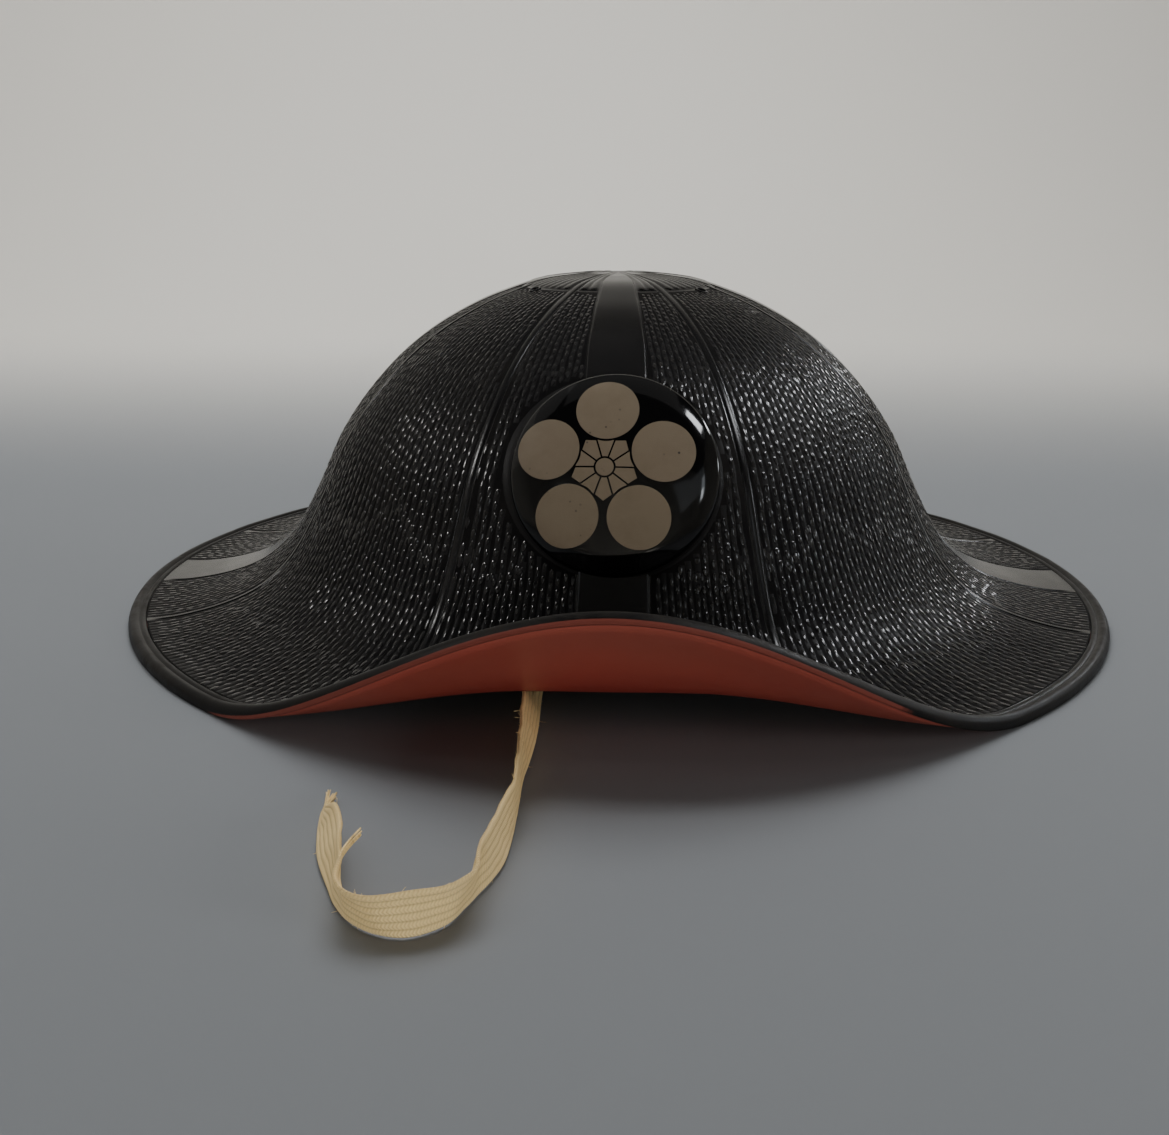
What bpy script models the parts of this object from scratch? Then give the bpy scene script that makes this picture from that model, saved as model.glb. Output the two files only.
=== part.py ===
"""Lacquered war hat with a turned-up front brim, a crest boss and one loose chin tape.

The hat stands on its brim. The front is at -Y, +Z is up, and the origin is on the
table under the top of the crown. Lengths are named in millimetres and turned into
metres where meshes are made.
"""

import math

import bmesh
import bpy
import numpy as np
from mathutils import Vector

MM = 0.001
GAP = 0.3                      # clearance between touching pieces

# ---- crown and brim -------------------------------------------------------------
# Upper surface of the hat: radius, height at the sides and back, height at the front.
PROFILE = (
    (0.0, 125.6, 125.6),
    (25.5, 123.7, 123.7),
    (45.0, 118.1, 118.1),
    (63.7, 109.3, 109.3),
    (80.0, 98.0, 98.0),
    (95.0, 82.8, 82.8),
    (107.4, 65.3, 65.3),
    (115.8, 47.7, 47.7),
    (124.0, 32.0, 31.5),
    (130.0, 23.0, 21.5),
    (136.0, 17.0, 14.8),
    (143.0, 12.0, 13.2),
    (152.0, 8.2, 17.4),
    (164.0, 5.2, 26.5),
    (176.0, 3.7, 38.6),
    (182.0, 3.6, 44.2),
    (192.0, 3.6, 53.4),
)
ARCH_HALF_ANGLE = math.radians(43.0)    # the turned-up front, at the rim
VALLEY_HALF_ANGLE = math.radians(31.0)  # and at the foot of the crown
VALLEY_RADIUS = 140.0

EDGE_RADIUS = 183.4            # where the wall ends and the rim binding begins
RIM_RADIUS = 190.0
SHELL_WALL = 2.4
FLOOR_DROP = 3.6               # from the upper surface of the brim to the table
SKIN_DROP = 3.5                # and to the lower face of the red skin

CROWN_RINGS = (0, 10, 17, 26, 36.6, 37.4, 52, 67, 81, 94, 104, 112, 119, 126, 133,
               141, 151, 163, 174, EDGE_RADIUS)
UNDER_RINGS = (0, 24, 48, 70, 90, 106, 118, 127, 136, 146, 160, 174, EDGE_RADIUS)

# ---- raised work on the crown -----------------------------------------------------
BAND_HALF_WIDTH = ((0, 3.5), (36, 6.2), (70, 9.4), (124, 11.3), (184, 14.5))
BAND_ANGLES = (0, 90, 180, 270)
# Ribs of the right half, in degrees from the front: angle at the crown, at the brim.
RIBS = ((26.0, 21.0), (69.5, 69.5), (110.5, 110.5), (154.5, 154.5))
RIB_HALF_WIDTH = 1.7
RAISED_BY = 0.6
STEP_WIDTH = 0.5
RELIEF_START = 10.0            # radius where bands and ribs grow out of the cap
RELIEF_FULL = 17.0
RELIEF_END = 178.0
PLATEAU_RADIUS = 37.0          # the low round step near the top of the crown
PLATEAU_STEP = 0.4
FILLERS = (1, 4, 1)            # plain columns band to rib, rib to rib, rib to band
VENT_RADIUS = 1.6
VENT_RING = 38.5
VENT_ANGLES = (53, 127, 233, 307)

# ---- rim binding: outline in its own plane, outward and up from the brim's edge ----
BINDING_OUTLINE = (
    (GAP, -2.4),
    (5.0, -2.4),
    (5.0, -FLOOR_DROP),
    (6.2, -FLOOR_DROP),
    (6.6, -2.6),
    (6.4, -0.6),
    (4.8, 0.6),
    (1.8, 0.8),
    (GAP, 0.2),
)
SKIN_EDGE_REACH = 4.7          # the red skin runs on under the binding

# ---- boss and crest ----------------------------------------------------------------
BOSS_SEAT_RADIUS = 105.4
BOSS_SEAT_HEIGHT = 68.8
BOSS_RISE = math.radians(27.5)     # its axis above the horizontal
BOSS_TURN = math.radians(-3.8)     # and towards the wearer's right
BOSS_RADIUS = 33.6
BOSS_EDGE_HEIGHT = 2.5
BOSS_EDGE_ROUND = 2.2
DOME_RADIUS = 115.0
SEAT_GAP = RAISED_BY + GAP
CREST_CENTRE = (-2.7, 0.2)
CREST_DISC_RADIUS = 10.1
CREST_RING_RADIUS = 19.35
CREST_THICKNESS = 0.5
STAR_INRADIUS = 8.8
STAR_CLEARANCE = 0.7           # black line between the star and the discs
STAR_HOLE_RADIUS = 3.5
HUB_RADIUS = 2.9
PETALS = 5

# ---- chin tape ---------------------------------------------------------------------
TAPE_WIDTH = 12.0
TAPE_THICKNESS = 1.0
TAPE_STEP = 4.0
TAPE_END_TAPER = (22.0, 0.45)    # the frayed end draws in over this length to this share of the width
# Lower edge of the tape from its anchor to its free end: x, y, height, and lean in
# degrees from upright towards the right of the way that it runs.
TAPE_ROUTE = (
    (-22.6, -106.5, 34.0, 90),
    (-22.4, -108.2, 23.1, 86),
    (-22.2, -110.4, 13.4, 78),
    (-22.1, -113.9, 6.4, 71),
    (-22.2, -119.9, 2.0, 62),
    (-22.4, -129.6, 0.6, 53),
    (-22.2, -140.6, 0.6, 50),
    (-22.1, -146.6, 0.6, 37),
    (-22.0, -152.6, 0.6, 23),
    (-22.2, -163.6, 0.6, 18),
    (-22.9, -175.6, 0.6, 11),
    (-23.9, -187.5, 0.6, 4),
    (-24.0, -199.5, 0.6, 1),
    (-24.0, -211.5, 0.6, 0),
    (-24.2, -223.5, 0.6, 8),
    (-24.9, -233.5, 0.6, 12),
    (-26.9, -241.2, 0.6, 7),
    (-29.4, -247.7, 0.6, 0),
    (-32.1, -254.2, 0.6, -14),
    (-35.5, -261.3, 0.6, -10),
    (-42.5, -266.1, 0.6, -1),
    (-49.9, -265.0, 0.6, -15),
    (-56.3, -260.5, 0.6, -12),
    (-60.9, -254.1, 0.6, 7),
    (-64.2, -246.8, 0.6, 16),
    (-67.4, -239.5, 0.6, 25),
    (-70.1, -232.0, 0.6, 30),
    (-71.9, -224.2, 0.6, 26),
    (-73.2, -216.3, 0.6, 24),
    (-74.2, -206.4, 0.6, 24),
    (-75.8, -196.5, 0.6, 24),
)
ANCHOR_ANGLES = (-17.5, -11.0)     # where the anchor sits inside the crown
ANCHOR_RADII = (110.0, 115.5)
ANCHOR_THICKNESS = 4.0
ANCHOR_GAP = 0.9

COLLECTION_NAME = "war_hat"


# ---- curves through short tables -----------------------------------------------------
def slopes(x, y):
    """Slopes that keep a cubic through the points free of overshoot."""
    secant = np.diff(y) / np.diff(x)
    inner = [0.0 if a * b <= 0 else 2 * a * b / (a + b) for a, b in zip(secant[:-1], secant[1:])]
    return np.array([0.0] + inner + [secant[-1]])


PROFILE_TABLE = np.array(PROFILE)
SIDE_SLOPES = slopes(PROFILE_TABLE[:, 0], PROFILE_TABLE[:, 1])
FRONT_SLOPES = slopes(PROFILE_TABLE[:, 0], PROFILE_TABLE[:, 2])


def cubic(x, xs, ys, ms):
    i = int(np.clip(np.searchsorted(xs, x) - 1, 0, len(xs) - 2))
    width = xs[i + 1] - xs[i]
    t = (x - xs[i]) / width
    rise = ys[i + 1] - ys[i]
    return (ys[i] + rise * t * t * (3 - 2 * t)
            + width * (ms[i] * t * (1 - t) ** 2 - ms[i + 1] * t * t * (1 - t)))


def fade(x, start, end):
    t = min(max((x - start) / (end - start), 0.0), 1.0)
    return t * t * (3 - 2 * t)


# ---- upper surface of the hat ----------------------------------------------------------
def front_share(radius, angle):
    """How much of the front profile holds at this place, from 0 to 1."""
    reach = np.interp(radius, (VALLEY_RADIUS, RIM_RADIUS), (VALLEY_HALF_ANGLE, ARCH_HALF_ANGLE))
    away = abs((angle + math.pi) % (2 * math.pi) - math.pi)
    return 0.5 * (1 + math.cos(math.pi * away / reach)) if away < reach else 0.0


def hat_height(radius, angle):
    xs = PROFILE_TABLE[:, 0]
    side = cubic(radius, xs, PROFILE_TABLE[:, 1], SIDE_SLOPES)
    front = cubic(radius, xs, PROFILE_TABLE[:, 2], FRONT_SLOPES)
    return side + front_share(radius, angle) * (front - side)


def surface(radius, angle):
    """A point of the upper surface; angle 0 is the front, and +90 degrees is +X."""
    return Vector((radius * math.sin(angle), -radius * math.cos(angle), hat_height(radius, angle)))


def surface_frame(radius, angle):
    """The point, the outward direction down the wall and the upward normal there."""
    inner = max(radius - 0.5, 0.0)
    outward = (surface(inner + 1.0, angle) - surface(inner, angle)).normalized()
    turn = 0.5 / max(radius, 1.0)
    around = (surface(max(radius, 1.0), angle + turn) - surface(max(radius, 1.0), angle - turn)).normalized()
    normal = outward.cross(around).normalized() if radius > 0 else Vector((0, 0, 1))
    return surface(radius, angle), outward, normal


def lifted(radius, angle, lift):
    point, _, normal = surface_frame(radius, angle)
    return point + normal * lift


# ---- columns of the crown: plain, band and rib ------------------------------------------
def band_half_angle(radius):
    radii, widths = zip(*BAND_HALF_WIDTH)
    return min(np.interp(radius, radii, widths) / max(radius, 1.0), 0.22)


def rib_half_angle(radius):
    return min(RIB_HALF_WIDTH / max(radius, 1.0), 0.06)


def rib_angle(rib, radius):
    crown, brim = rib
    return math.radians(np.interp(radius, (PLATEAU_RADIUS, EDGE_RADIUS), (crown, brim)))


def quadrant_columns(radius, ribs, start):
    """Angles and raised shares from one band's middle to just short of the next band's."""
    step = min(STEP_WIDTH / max(radius, 1.0), 0.03)
    band = band_half_angle(radius)
    rib = rib_half_angle(radius)
    first, second = ribs
    fixed = [(start, 1), (start + band, 1), (start + band + step, 0)]
    for middle in (first, second):
        fixed += [(middle - rib, 0), (middle, 1), (middle + rib, 0)]
    after = start + math.pi / 2
    fixed += [(after - band - step, 0), (after - band, 1)]
    columns = []
    gaps = {2: FILLERS[0], 5: FILLERS[1], 8: FILLERS[2]}
    for i, (angle, raised) in enumerate(fixed):
        columns.append((angle, raised))
        for k in range(gaps.get(i, 0)):
            share = (k + 1) / (gaps[i] + 1)
            columns.append((angle + (fixed[i + 1][0] - angle) * share, 0))
    return columns


def columns_at(radius):
    """Every column round the hat, from the front through +X, as (angle, raised share)."""
    right = [rib_angle(rib, radius) for rib in RIBS]
    left = [2 * math.pi - math.radians(crown) for crown, _ in reversed(RIBS)]
    every = right + left
    columns = []
    for quarter in range(4):
        pair = every[2 * quarter:2 * quarter + 2]
        columns += quadrant_columns(radius, pair, quarter * math.pi / 2)
    return columns


def relief(radius, raised):
    grown = fade(radius, RELIEF_START, RELIEF_FULL) * (1 - fade(radius, RELIEF_END, EDGE_RADIUS))
    plateau = PLATEAU_STEP if radius < PLATEAU_RADIUS else 0.0
    return max(raised * RAISED_BY * grown, plateau)


# ---- mesh helpers -----------------------------------------------------------------------
def material(name, colour, roughness, metallic=0.0):
    made = bpy.data.materials.new(name)
    made.use_nodes = True
    shader = made.node_tree.nodes["Principled BSDF"]
    shader.inputs["Base Color"].default_value = (*colour, 1.0)
    shader.inputs["Roughness"].default_value = roughness
    shader.inputs["Metallic"].default_value = metallic
    return made


def add_object(name, mesh, collection, finish=None, sharp_angle=35.0):
    made = bpy.data.objects.new(name, mesh)
    collection.objects.link(made)
    if finish:
        mesh.materials.append(finish)
        mesh.shade_smooth()
        mesh.set_sharp_from_angle(angle=math.radians(sharp_angle))
    return made


def loft(name, sections, around, poles=False, caps=False):
    """Skin sections of equal length, in millimetres, into one closed mesh.

    around joins the last section to the first. With poles, every section starts and
    ends at the same two points. With caps, the first and last sections are filled.
    """
    body = bmesh.new()
    if poles:
        first = body.verts.new(sections[0][0] * MM)
        last = body.verts.new(sections[0][-1] * MM)
        grid = [[first] + [body.verts.new(p * MM) for p in s[1:-1]] + [last] for s in sections]
    else:
        grid = [[body.verts.new(p * MM) for p in s] for s in sections]
    pairs = list(zip(grid, grid[1:] + grid[:1])) if around else list(zip(grid, grid[1:]))
    for left, right in pairs:
        count = len(left)
        for i in range(count - 1 if poles else count):
            j = (i + 1) % count
            corners = [left[i], left[j], right[j], right[i]]
            unique = list(dict.fromkeys(corners))
            body.faces.new(unique)
    if caps:
        body.faces.new(grid[0])
        body.faces.new(grid[-1])
    # The shorter diagonal keeps the facets of neighbouring skins parallel.
    bmesh.ops.triangulate(body, faces=body.faces, quad_method="SHORT_EDGE")
    bmesh.ops.recalc_face_normals(body, faces=body.faces)
    mesh = bpy.data.meshes.new(name)
    body.to_mesh(mesh)
    body.free()
    return mesh


# ---- the pieces --------------------------------------------------------------------------
def crown_shell(collection, finish):
    """Crown and brim: one black wall, with raised bands, ribs and a round step near the top."""
    columns = [columns_at(radius) for radius in CROWN_RINGS]
    under = [columns_at(radius) for radius in UNDER_RINGS]
    sections = []
    for k in range(len(columns[0])):
        upper = [lifted(radius, columns[i][k][0], relief(radius, columns[i][k][1]))
                 for i, radius in enumerate(CROWN_RINGS)]
        lower = [lifted(radius, under[i][k][0], -SHELL_WALL) for i, radius in enumerate(UNDER_RINGS)]
        sections.append(upper + lower[::-1])
    return add_object("crown_shell", loft("crown_shell", sections, around=True, poles=True),
                      collection, finish)


def red_skin(collection, finish):
    """The red lacquered skin that lines the whole underside, out to the rim."""
    columns = [columns_at(radius) for radius in UNDER_RINGS]
    top = -SHELL_WALL - GAP
    bottom = -SKIN_DROP
    sections = []
    for k in range(len(columns[0])):
        angles = [columns[i][k][0] for i in range(len(UNDER_RINGS))]
        upper = [lifted(radius, angle, top) for radius, angle in zip(UNDER_RINGS, angles)]
        lower = [lifted(radius, angle, bottom) for radius, angle in zip(UNDER_RINGS, angles)]
        point, outward, normal = surface_frame(EDGE_RADIUS, angles[-1])
        edge = [point + outward * SKIN_EDGE_REACH + normal * lift for lift in (top, bottom)]
        sections.append(upper + edge + lower[::-1])
    return add_object("red_underside", loft("red_underside", sections, around=True, poles=True),
                      collection, finish)


def rim_binding(collection, finish):
    """The rolled black edge round the whole brim, which the hat stands on."""
    sections = []
    for angle, _ in columns_at(EDGE_RADIUS):
        point, outward, normal = surface_frame(EDGE_RADIUS, angle)
        sections.append([point + outward * a + normal * b for a, b in BINDING_OUTLINE])
    return add_object("rim_binding", loft("rim_binding", sections, around=True), collection, finish)


def boss_frame():
    """Seat point, sideways, upward and outward directions of the crest boss."""
    outward = Vector((math.sin(BOSS_TURN) * math.cos(BOSS_RISE),
                      -math.cos(BOSS_TURN) * math.cos(BOSS_RISE), math.sin(BOSS_RISE)))
    across = Vector((math.cos(BOSS_TURN), math.sin(BOSS_TURN), 0.0))
    return Vector((0.0, -BOSS_SEAT_RADIUS, BOSS_SEAT_HEIGHT)), across, outward.cross(across), outward


def boss_point(x, y, height):
    seat, across, upward, outward = boss_frame()
    return seat + across * x + upward * y + outward * height


def boss_face(reach):
    """Height of the domed face at this distance from the boss's axis."""
    crown = math.sqrt(DOME_RADIUS ** 2 - BOSS_RADIUS ** 2)
    return BOSS_EDGE_HEIGHT + math.sqrt(DOME_RADIUS ** 2 - min(reach, BOSS_RADIUS) ** 2) - crown


def wall_depth(x, y):
    """Height along the boss's axis at which it just clears the crown."""
    low, high = -16.0, 6.0
    for _ in range(24):
        middle = (low + high) / 2
        point = boss_point(x, y, middle)
        radius = math.hypot(point.x, point.y)
        angle = math.atan2(point.x, -point.y)
        foot, _, normal = surface_frame(radius, angle)
        if (point - foot).dot(normal) > SEAT_GAP:
            high = middle
        else:
            low = middle
    return high


def crest_boss(collection, finish, sides=36):
    """The domed black boss on the front, hollowed behind to sit on the crown."""
    shoulder = BOSS_RADIUS - BOSS_EDGE_ROUND
    drop = boss_face(shoulder) - BOSS_EDGE_ROUND
    faces = [(reach, boss_face(reach)) for reach in (0, 11, 22, shoulder)]
    rounding = [(shoulder + BOSS_EDGE_ROUND * math.sin(t), drop + BOSS_EDGE_ROUND * math.cos(t))
                for t in (math.radians(40), math.radians(90))]
    sections = []
    for k in range(sides):
        turn = 2 * math.pi * k / sides
        c, s = math.cos(turn), math.sin(turn)
        front = [boss_point(reach * c, reach * s, height) for reach, height in faces + rounding]
        back = [boss_point(reach * c, reach * s, wall_depth(reach * c, reach * s))
                for reach in (BOSS_RADIUS, 22.0, 11.0, 0.0)]
        sections.append(front + back)
    return add_object("crest_boss", loft("crest_boss", sections, around=True, poles=True),
                      collection, finish)


def crest_point(x, y, lift):
    """A point over the boss's domed face, from the crest's own centre."""
    px, py = CREST_CENTRE[0] + x, CREST_CENTRE[1] + y
    return boss_point(px, py, boss_face(math.hypot(px, py)) + lift)


def crest_plate(name, centre, outline, collection, finish, hole=0.0):
    """A thin gold plate that follows the dome; outline gives its radius at each turn."""
    low, high = GAP, GAP + CREST_THICKNESS
    sections = []
    for k, reach in enumerate(outline):
        turn = 2 * math.pi * k / len(outline)
        c, s = math.cos(turn), math.sin(turn)
        steps = (hole, reach) if hole else (0, reach / 2, reach)
        upper = [crest_point(centre[0] + r * c, centre[1] + r * s, high) for r in steps]
        lower = [crest_point(centre[0] + r * c, centre[1] + r * s, low) for r in steps]
        sections.append(upper + lower[::-1])
    mesh = loft(name, sections, around=True, poles=not hole)
    return add_object(name, mesh, collection, finish)


def star_outline(points=40):
    """A pentagon whose sides give way to the five discs, with its corners between them."""
    clear = CREST_DISC_RADIUS + STAR_CLEARANCE
    outline = []
    for k in range(points):
        turn = 360.0 * k / points
        sector = 360.0 / PETALS
        off = math.radians((turn - 90.0 + sector / 2) % sector - sector / 2)
        reach = STAR_INRADIUS / math.cos(off)
        aside = CREST_RING_RADIUS * math.sin(off)
        if abs(aside) < clear:
            reach = min(reach, CREST_RING_RADIUS * math.cos(off) - math.sqrt(clear ** 2 - aside ** 2))
        outline.append(reach)
    return outline


def crest(collection, finish):
    """Five round petals about a pentagonal star and a round hub."""
    for k in range(PETALS):
        turn = math.radians(90 + 360 / PETALS * k)
        centre = (CREST_RING_RADIUS * math.cos(turn), CREST_RING_RADIUS * math.sin(turn))
        crest_plate(f"crest_petal_{k + 1}", centre, [CREST_DISC_RADIUS] * 20, collection, finish)
    crest_plate("crest_star", (0, 0), star_outline(), collection, finish, hole=STAR_HOLE_RADIUS)
    crest_plate("crest_hub", (0, 0), [HUB_RADIUS] * 16, collection, finish)


def tape_line():
    """The lower edge of the tape and its lean, sampled evenly along a smooth curve."""
    rows = np.array(TAPE_ROUTE)
    ends = np.vstack([2 * rows[0] - rows[1], rows, 2 * rows[-1] - rows[-2]])
    dense = []
    for a, b, c, d in zip(ends, ends[1:], ends[2:], ends[3:]):
        for t in np.linspace(0, 1, 12, endpoint=False):
            dense.append(0.5 * (2 * b + (c - a) * t + (2 * a - 5 * b + 4 * c - d) * t ** 2
                                + (3 * b - a - 3 * c + d) * t ** 3))
    dense = np.array(dense + [rows[-1]])
    way = np.concatenate([[0], np.cumsum(np.linalg.norm(np.diff(dense[:, :3], axis=0), axis=1))])
    stations = np.linspace(0, way[-1], int(way[-1] / TAPE_STEP) + 1)
    return np.column_stack([np.interp(stations, way, dense[:, i]) for i in range(4)])


def chin_tape(collection, finish):
    """The loose woven tape: down from its anchor, out under the brim and round in a hook."""
    line = tape_line()
    ahead = np.gradient(line[:, :3], axis=0)
    half = TAPE_THICKNESS / 2
    taper, share = TAPE_END_TAPER
    sections = []
    for k, ((x, y, z, lean), way) in enumerate(zip(line, ahead)):
        along = Vector(way).normalized()
        right = along.cross(Vector((0, 0, 1))).normalized()
        upright = right.cross(along).normalized()
        lean = math.radians(lean)
        across = upright * math.cos(lean) + right * math.sin(lean)
        face = across.cross(along).normalized()
        edge = Vector((x, y, z))
        left = (len(line) - 1 - k) * TAPE_STEP
        far = edge + across * TAPE_WIDTH * (1 - (1 - share) * fade(taper - left, 0.0, taper))
        sections.append([edge + face * half, far + face * half, far - face * half, edge - face * half])
    return add_object("chin_tape", loft("chin_tape", sections, around=False, caps=True),
                      collection, finish)


def tape_anchor(collection, finish):
    """The plain pad inside the crown that holds the tape's fixed end."""
    outer = -SKIN_DROP - ANCHOR_GAP
    sections = []
    for angle in np.linspace(*ANCHOR_ANGLES, 4):
        turn = math.radians(angle)
        top, foot = ANCHOR_RADII
        sections.append([lifted(top, turn, outer), lifted(foot, turn, outer),
                         lifted(foot, turn, outer - ANCHOR_THICKNESS),
                         lifted(top, turn, outer - ANCHOR_THICKNESS)])
    return add_object("tape_anchor", loft("tape_anchor", sections, around=False, caps=True),
                      collection, finish)


def cut_vents(pieces, cutters):
    """Four small vent holes round the top of the crown, through every layer."""
    for k, angle in enumerate(VENT_ANGLES):
        point, _, normal = surface_frame(VENT_RING, math.radians(angle))
        bpy.ops.mesh.primitive_cylinder_add(vertices=12, radius=VENT_RADIUS * MM, depth=16 * MM,
                                            location=point * MM)
        drill = bpy.context.object
        drill.name = f"vent_drill_{k + 1}"
        drill.rotation_euler = normal.to_track_quat("Z", "Y").to_euler()
        drill.hide_render = True
        drill.display_type = "WIRE"
        for used in list(drill.users_collection):
            used.objects.unlink(drill)
        cutters.objects.link(drill)
        for piece in pieces:
            hole = piece.modifiers.new(f"vent_{k + 1}", "BOOLEAN")
            hole.operation = "DIFFERENCE"
            hole.solver = "EXACT"
            hole.object = drill


def main():
    for old in list(bpy.data.objects):
        bpy.data.objects.remove(old)
    hat = bpy.data.collections.new(COLLECTION_NAME)
    cutters = bpy.data.collections.new("cutters")
    bpy.context.scene.collection.children.link(hat)
    bpy.context.scene.collection.children.link(cutters)

    black = material("black_lacquer", (0.012, 0.012, 0.014), 0.28)
    rim = material("rim_lacquer", (0.02, 0.019, 0.019), 0.35)
    gloss = material("boss_lacquer", (0.004, 0.004, 0.005), 0.08)
    red = material("red_lacquer", (0.19, 0.032, 0.022), 0.45)
    gold = material("crest_gold", (0.27, 0.21, 0.15), 0.55, 0.2)
    cotton = material("cotton_tape", (0.58, 0.46, 0.28), 0.9)
    plain = material("anchor_cord", (0.3, 0.24, 0.16), 0.9)

    shell = crown_shell(hat, black)
    skin = red_skin(hat, red)
    rim_binding(hat, rim)
    crest_boss(hat, gloss)
    crest(hat, gold)
    chin_tape(hat, cotton)
    tape_anchor(hat, plain)
    cut_vents((shell, skin), cutters)


main()
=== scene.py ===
import math

import bmesh
import bpy
import numpy as np
from mathutils import Matrix


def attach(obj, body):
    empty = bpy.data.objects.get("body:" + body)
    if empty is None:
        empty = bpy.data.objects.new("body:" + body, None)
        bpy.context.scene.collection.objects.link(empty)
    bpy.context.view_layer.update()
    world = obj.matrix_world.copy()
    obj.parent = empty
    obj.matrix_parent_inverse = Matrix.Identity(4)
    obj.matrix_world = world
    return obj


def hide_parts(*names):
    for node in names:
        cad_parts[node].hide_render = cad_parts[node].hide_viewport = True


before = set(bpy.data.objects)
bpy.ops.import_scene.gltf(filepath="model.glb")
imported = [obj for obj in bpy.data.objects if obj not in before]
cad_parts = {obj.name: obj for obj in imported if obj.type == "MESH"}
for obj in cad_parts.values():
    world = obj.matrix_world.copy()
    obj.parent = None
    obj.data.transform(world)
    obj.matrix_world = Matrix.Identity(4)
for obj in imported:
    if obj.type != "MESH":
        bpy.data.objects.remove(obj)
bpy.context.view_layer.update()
mm = 0.001      # lengths below are millimetres; the front is at -Y and angles turn towards +X
scatter = np.random.default_rng(11)


# the camera looks a little down on the front of the hat
viewPoint = {"place": (0.00273, -0.51275, 0.1565), "turn": 0.03, "tilt": math.pi / 2 - 0.284, "roll": 0.004,
             "lens": 40.034}


def makeCamera(v):
    camera = bpy.data.objects.new("camera", bpy.data.cameras.new("camera"))
    bpy.context.scene.collection.objects.link(camera)
    camera.data.lens, camera.data.sensor_width = v["lens"], 36
    camera.data.clip_start, camera.data.clip_end = 0.01, 30
    camera.matrix_world = (Matrix.Translation(v["place"]) @ Matrix.Rotation(v["turn"], 4, "Z")
                           @ Matrix.Rotation(v["tilt"], 4, "X") @ Matrix.Rotation(v["roll"], 4, "Z"))
    bpy.context.scene.camera = camera


makeCamera(viewPoint)


# vectors and meshes
def unit(v):
    return v / np.maximum(np.linalg.norm(v, axis=-1, keepdims=True), 1e-12)


def circle(count):
    return 2 * np.pi * np.arange(count) / count


def fromFront(angle):      # how far round from the front, 0 to pi
    return np.abs((angle + np.pi) % (2 * np.pi) - np.pi)


def fade(x, start, end):
    t = np.clip((np.asarray(x, float) - start) / (end - start), 0, 1)
    return t * t * (3 - 2 * t)


def gridFaces(rows, columns, closeRows=False, closeColumns=False, start=0):
    r = np.arange(rows if closeRows else rows - 1)
    c = np.arange(columns if closeColumns else columns - 1)
    r, c = (x.ravel() for x in np.meshgrid(r, c, indexing="ij"))
    r2, c2 = (r + 1) % rows, (c + 1) % columns
    return (np.stack([r * columns + c, r * columns + c2, r2 * columns + c2, r2 * columns + c], 1) + start).tolist()


def fanFaces(first, count, tip, start=0):       # triangles from a ring of points to one tip
    k = np.arange(count)
    return (np.stack([first + k, first + (k + 1) % count, np.full(count, tip)], 1) + start).tolist()


def wayAlong(points):       # distance from the first point to each
    return np.concatenate([[0], np.cumsum(np.linalg.norm(np.diff(points, axis=0), axis=1))])


def cappedFaces(rows, columns, start=0):     # rings of points with a tip beyond the first ring and one beyond the last
    faces = gridFaces(rows, columns, closeColumns=True, start=start)
    faces += fanFaces(0, columns, rows * columns, start)
    return faces + fanFaces((rows - 1) * columns, columns, rows * columns + 1, start)


def newPiece(name, points, faces, material, marks=None, lengths=None, align=True):
    # marks are named values at the points for the material, lengths a pair in millimetres along the surface
    mesh = bpy.data.meshes.new(name)
    mesh.from_pydata(np.asarray(points, float) * mm, [], faces)
    if align:
        bm = bmesh.new()
        bm.from_mesh(mesh)
        bmesh.ops.recalc_face_normals(bm, faces=bm.faces)
        bm.to_mesh(mesh)
        bm.free()
    mesh.shade_smooth()
    for mark, values in (marks or {}).items():
        mesh.attributes.new(mark, "FLOAT", "POINT").data.foreach_set("value", np.asarray(values, np.float32).ravel())
    if lengths is not None:
        corner = np.empty(len(mesh.loops), np.int32)
        mesh.loops.foreach_get("vertex_index", corner)
        mesh.uv_layers.new(name="lengths").data.foreach_set("uv", np.asarray(lengths, np.float32)[corner].ravel())
    piece = bpy.data.objects.new(name, mesh)
    bpy.context.scene.collection.objects.link(piece)
    piece.data.materials.append(material)
    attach(piece, "root")
    return piece


# shader nodes; an input is named or numbered, and takes another node's output or a plain value
def node(tree, kind, inputs=None, **settings):
    made = tree.nodes.new(kind)
    for name, value in settings.items():
        setattr(made, name, value)
    for name, value in (inputs or {}).items():
        if isinstance(value, bpy.types.NodeSocket):
            tree.links.new(value, made.inputs[name])
        else:
            made.inputs[name].default_value = value
    return made


def calc(tree, operation, *values):
    return node(tree, "ShaderNodeMath", dict(enumerate(values)), operation=operation).outputs[0]


def objectPlace(tree):
    return node(tree, "ShaderNodeTexCoord").outputs["Object"]


def noise(tree, place, scale, detail, roughness=0.5):
    return node(tree, "ShaderNodeTexNoise",
                {"Vector": place, "Scale": scale, "Detail": detail, "Roughness": roughness}).outputs[0]


def ramp(tree, value, start, end, least=0.0, **settings):      # from least at the start to 1 at the end
    return node(tree, "ShaderNodeMapRange",
                {"Value": value, "From Min": start, "From Max": end, "To Min": least}, **settings).outputs[0]


def mixColour(tree, share, a, b):
    return node(tree, "ShaderNodeMix", {0: share, 6: a, 7: b}, data_type="RGBA").outputs[2]


def newGroup(name, sockets):
    group = bpy.data.node_groups.new(name, "ShaderNodeTree")
    for socket, direction, kind, value in sockets:
        made = group.interface.new_socket(socket, in_out=direction, socket_type=kind)
        if value is not None:
            made.default_value = value
    return group, group.nodes.new("NodeGroupInput"), group.nodes.new("NodeGroupOutput")


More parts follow.
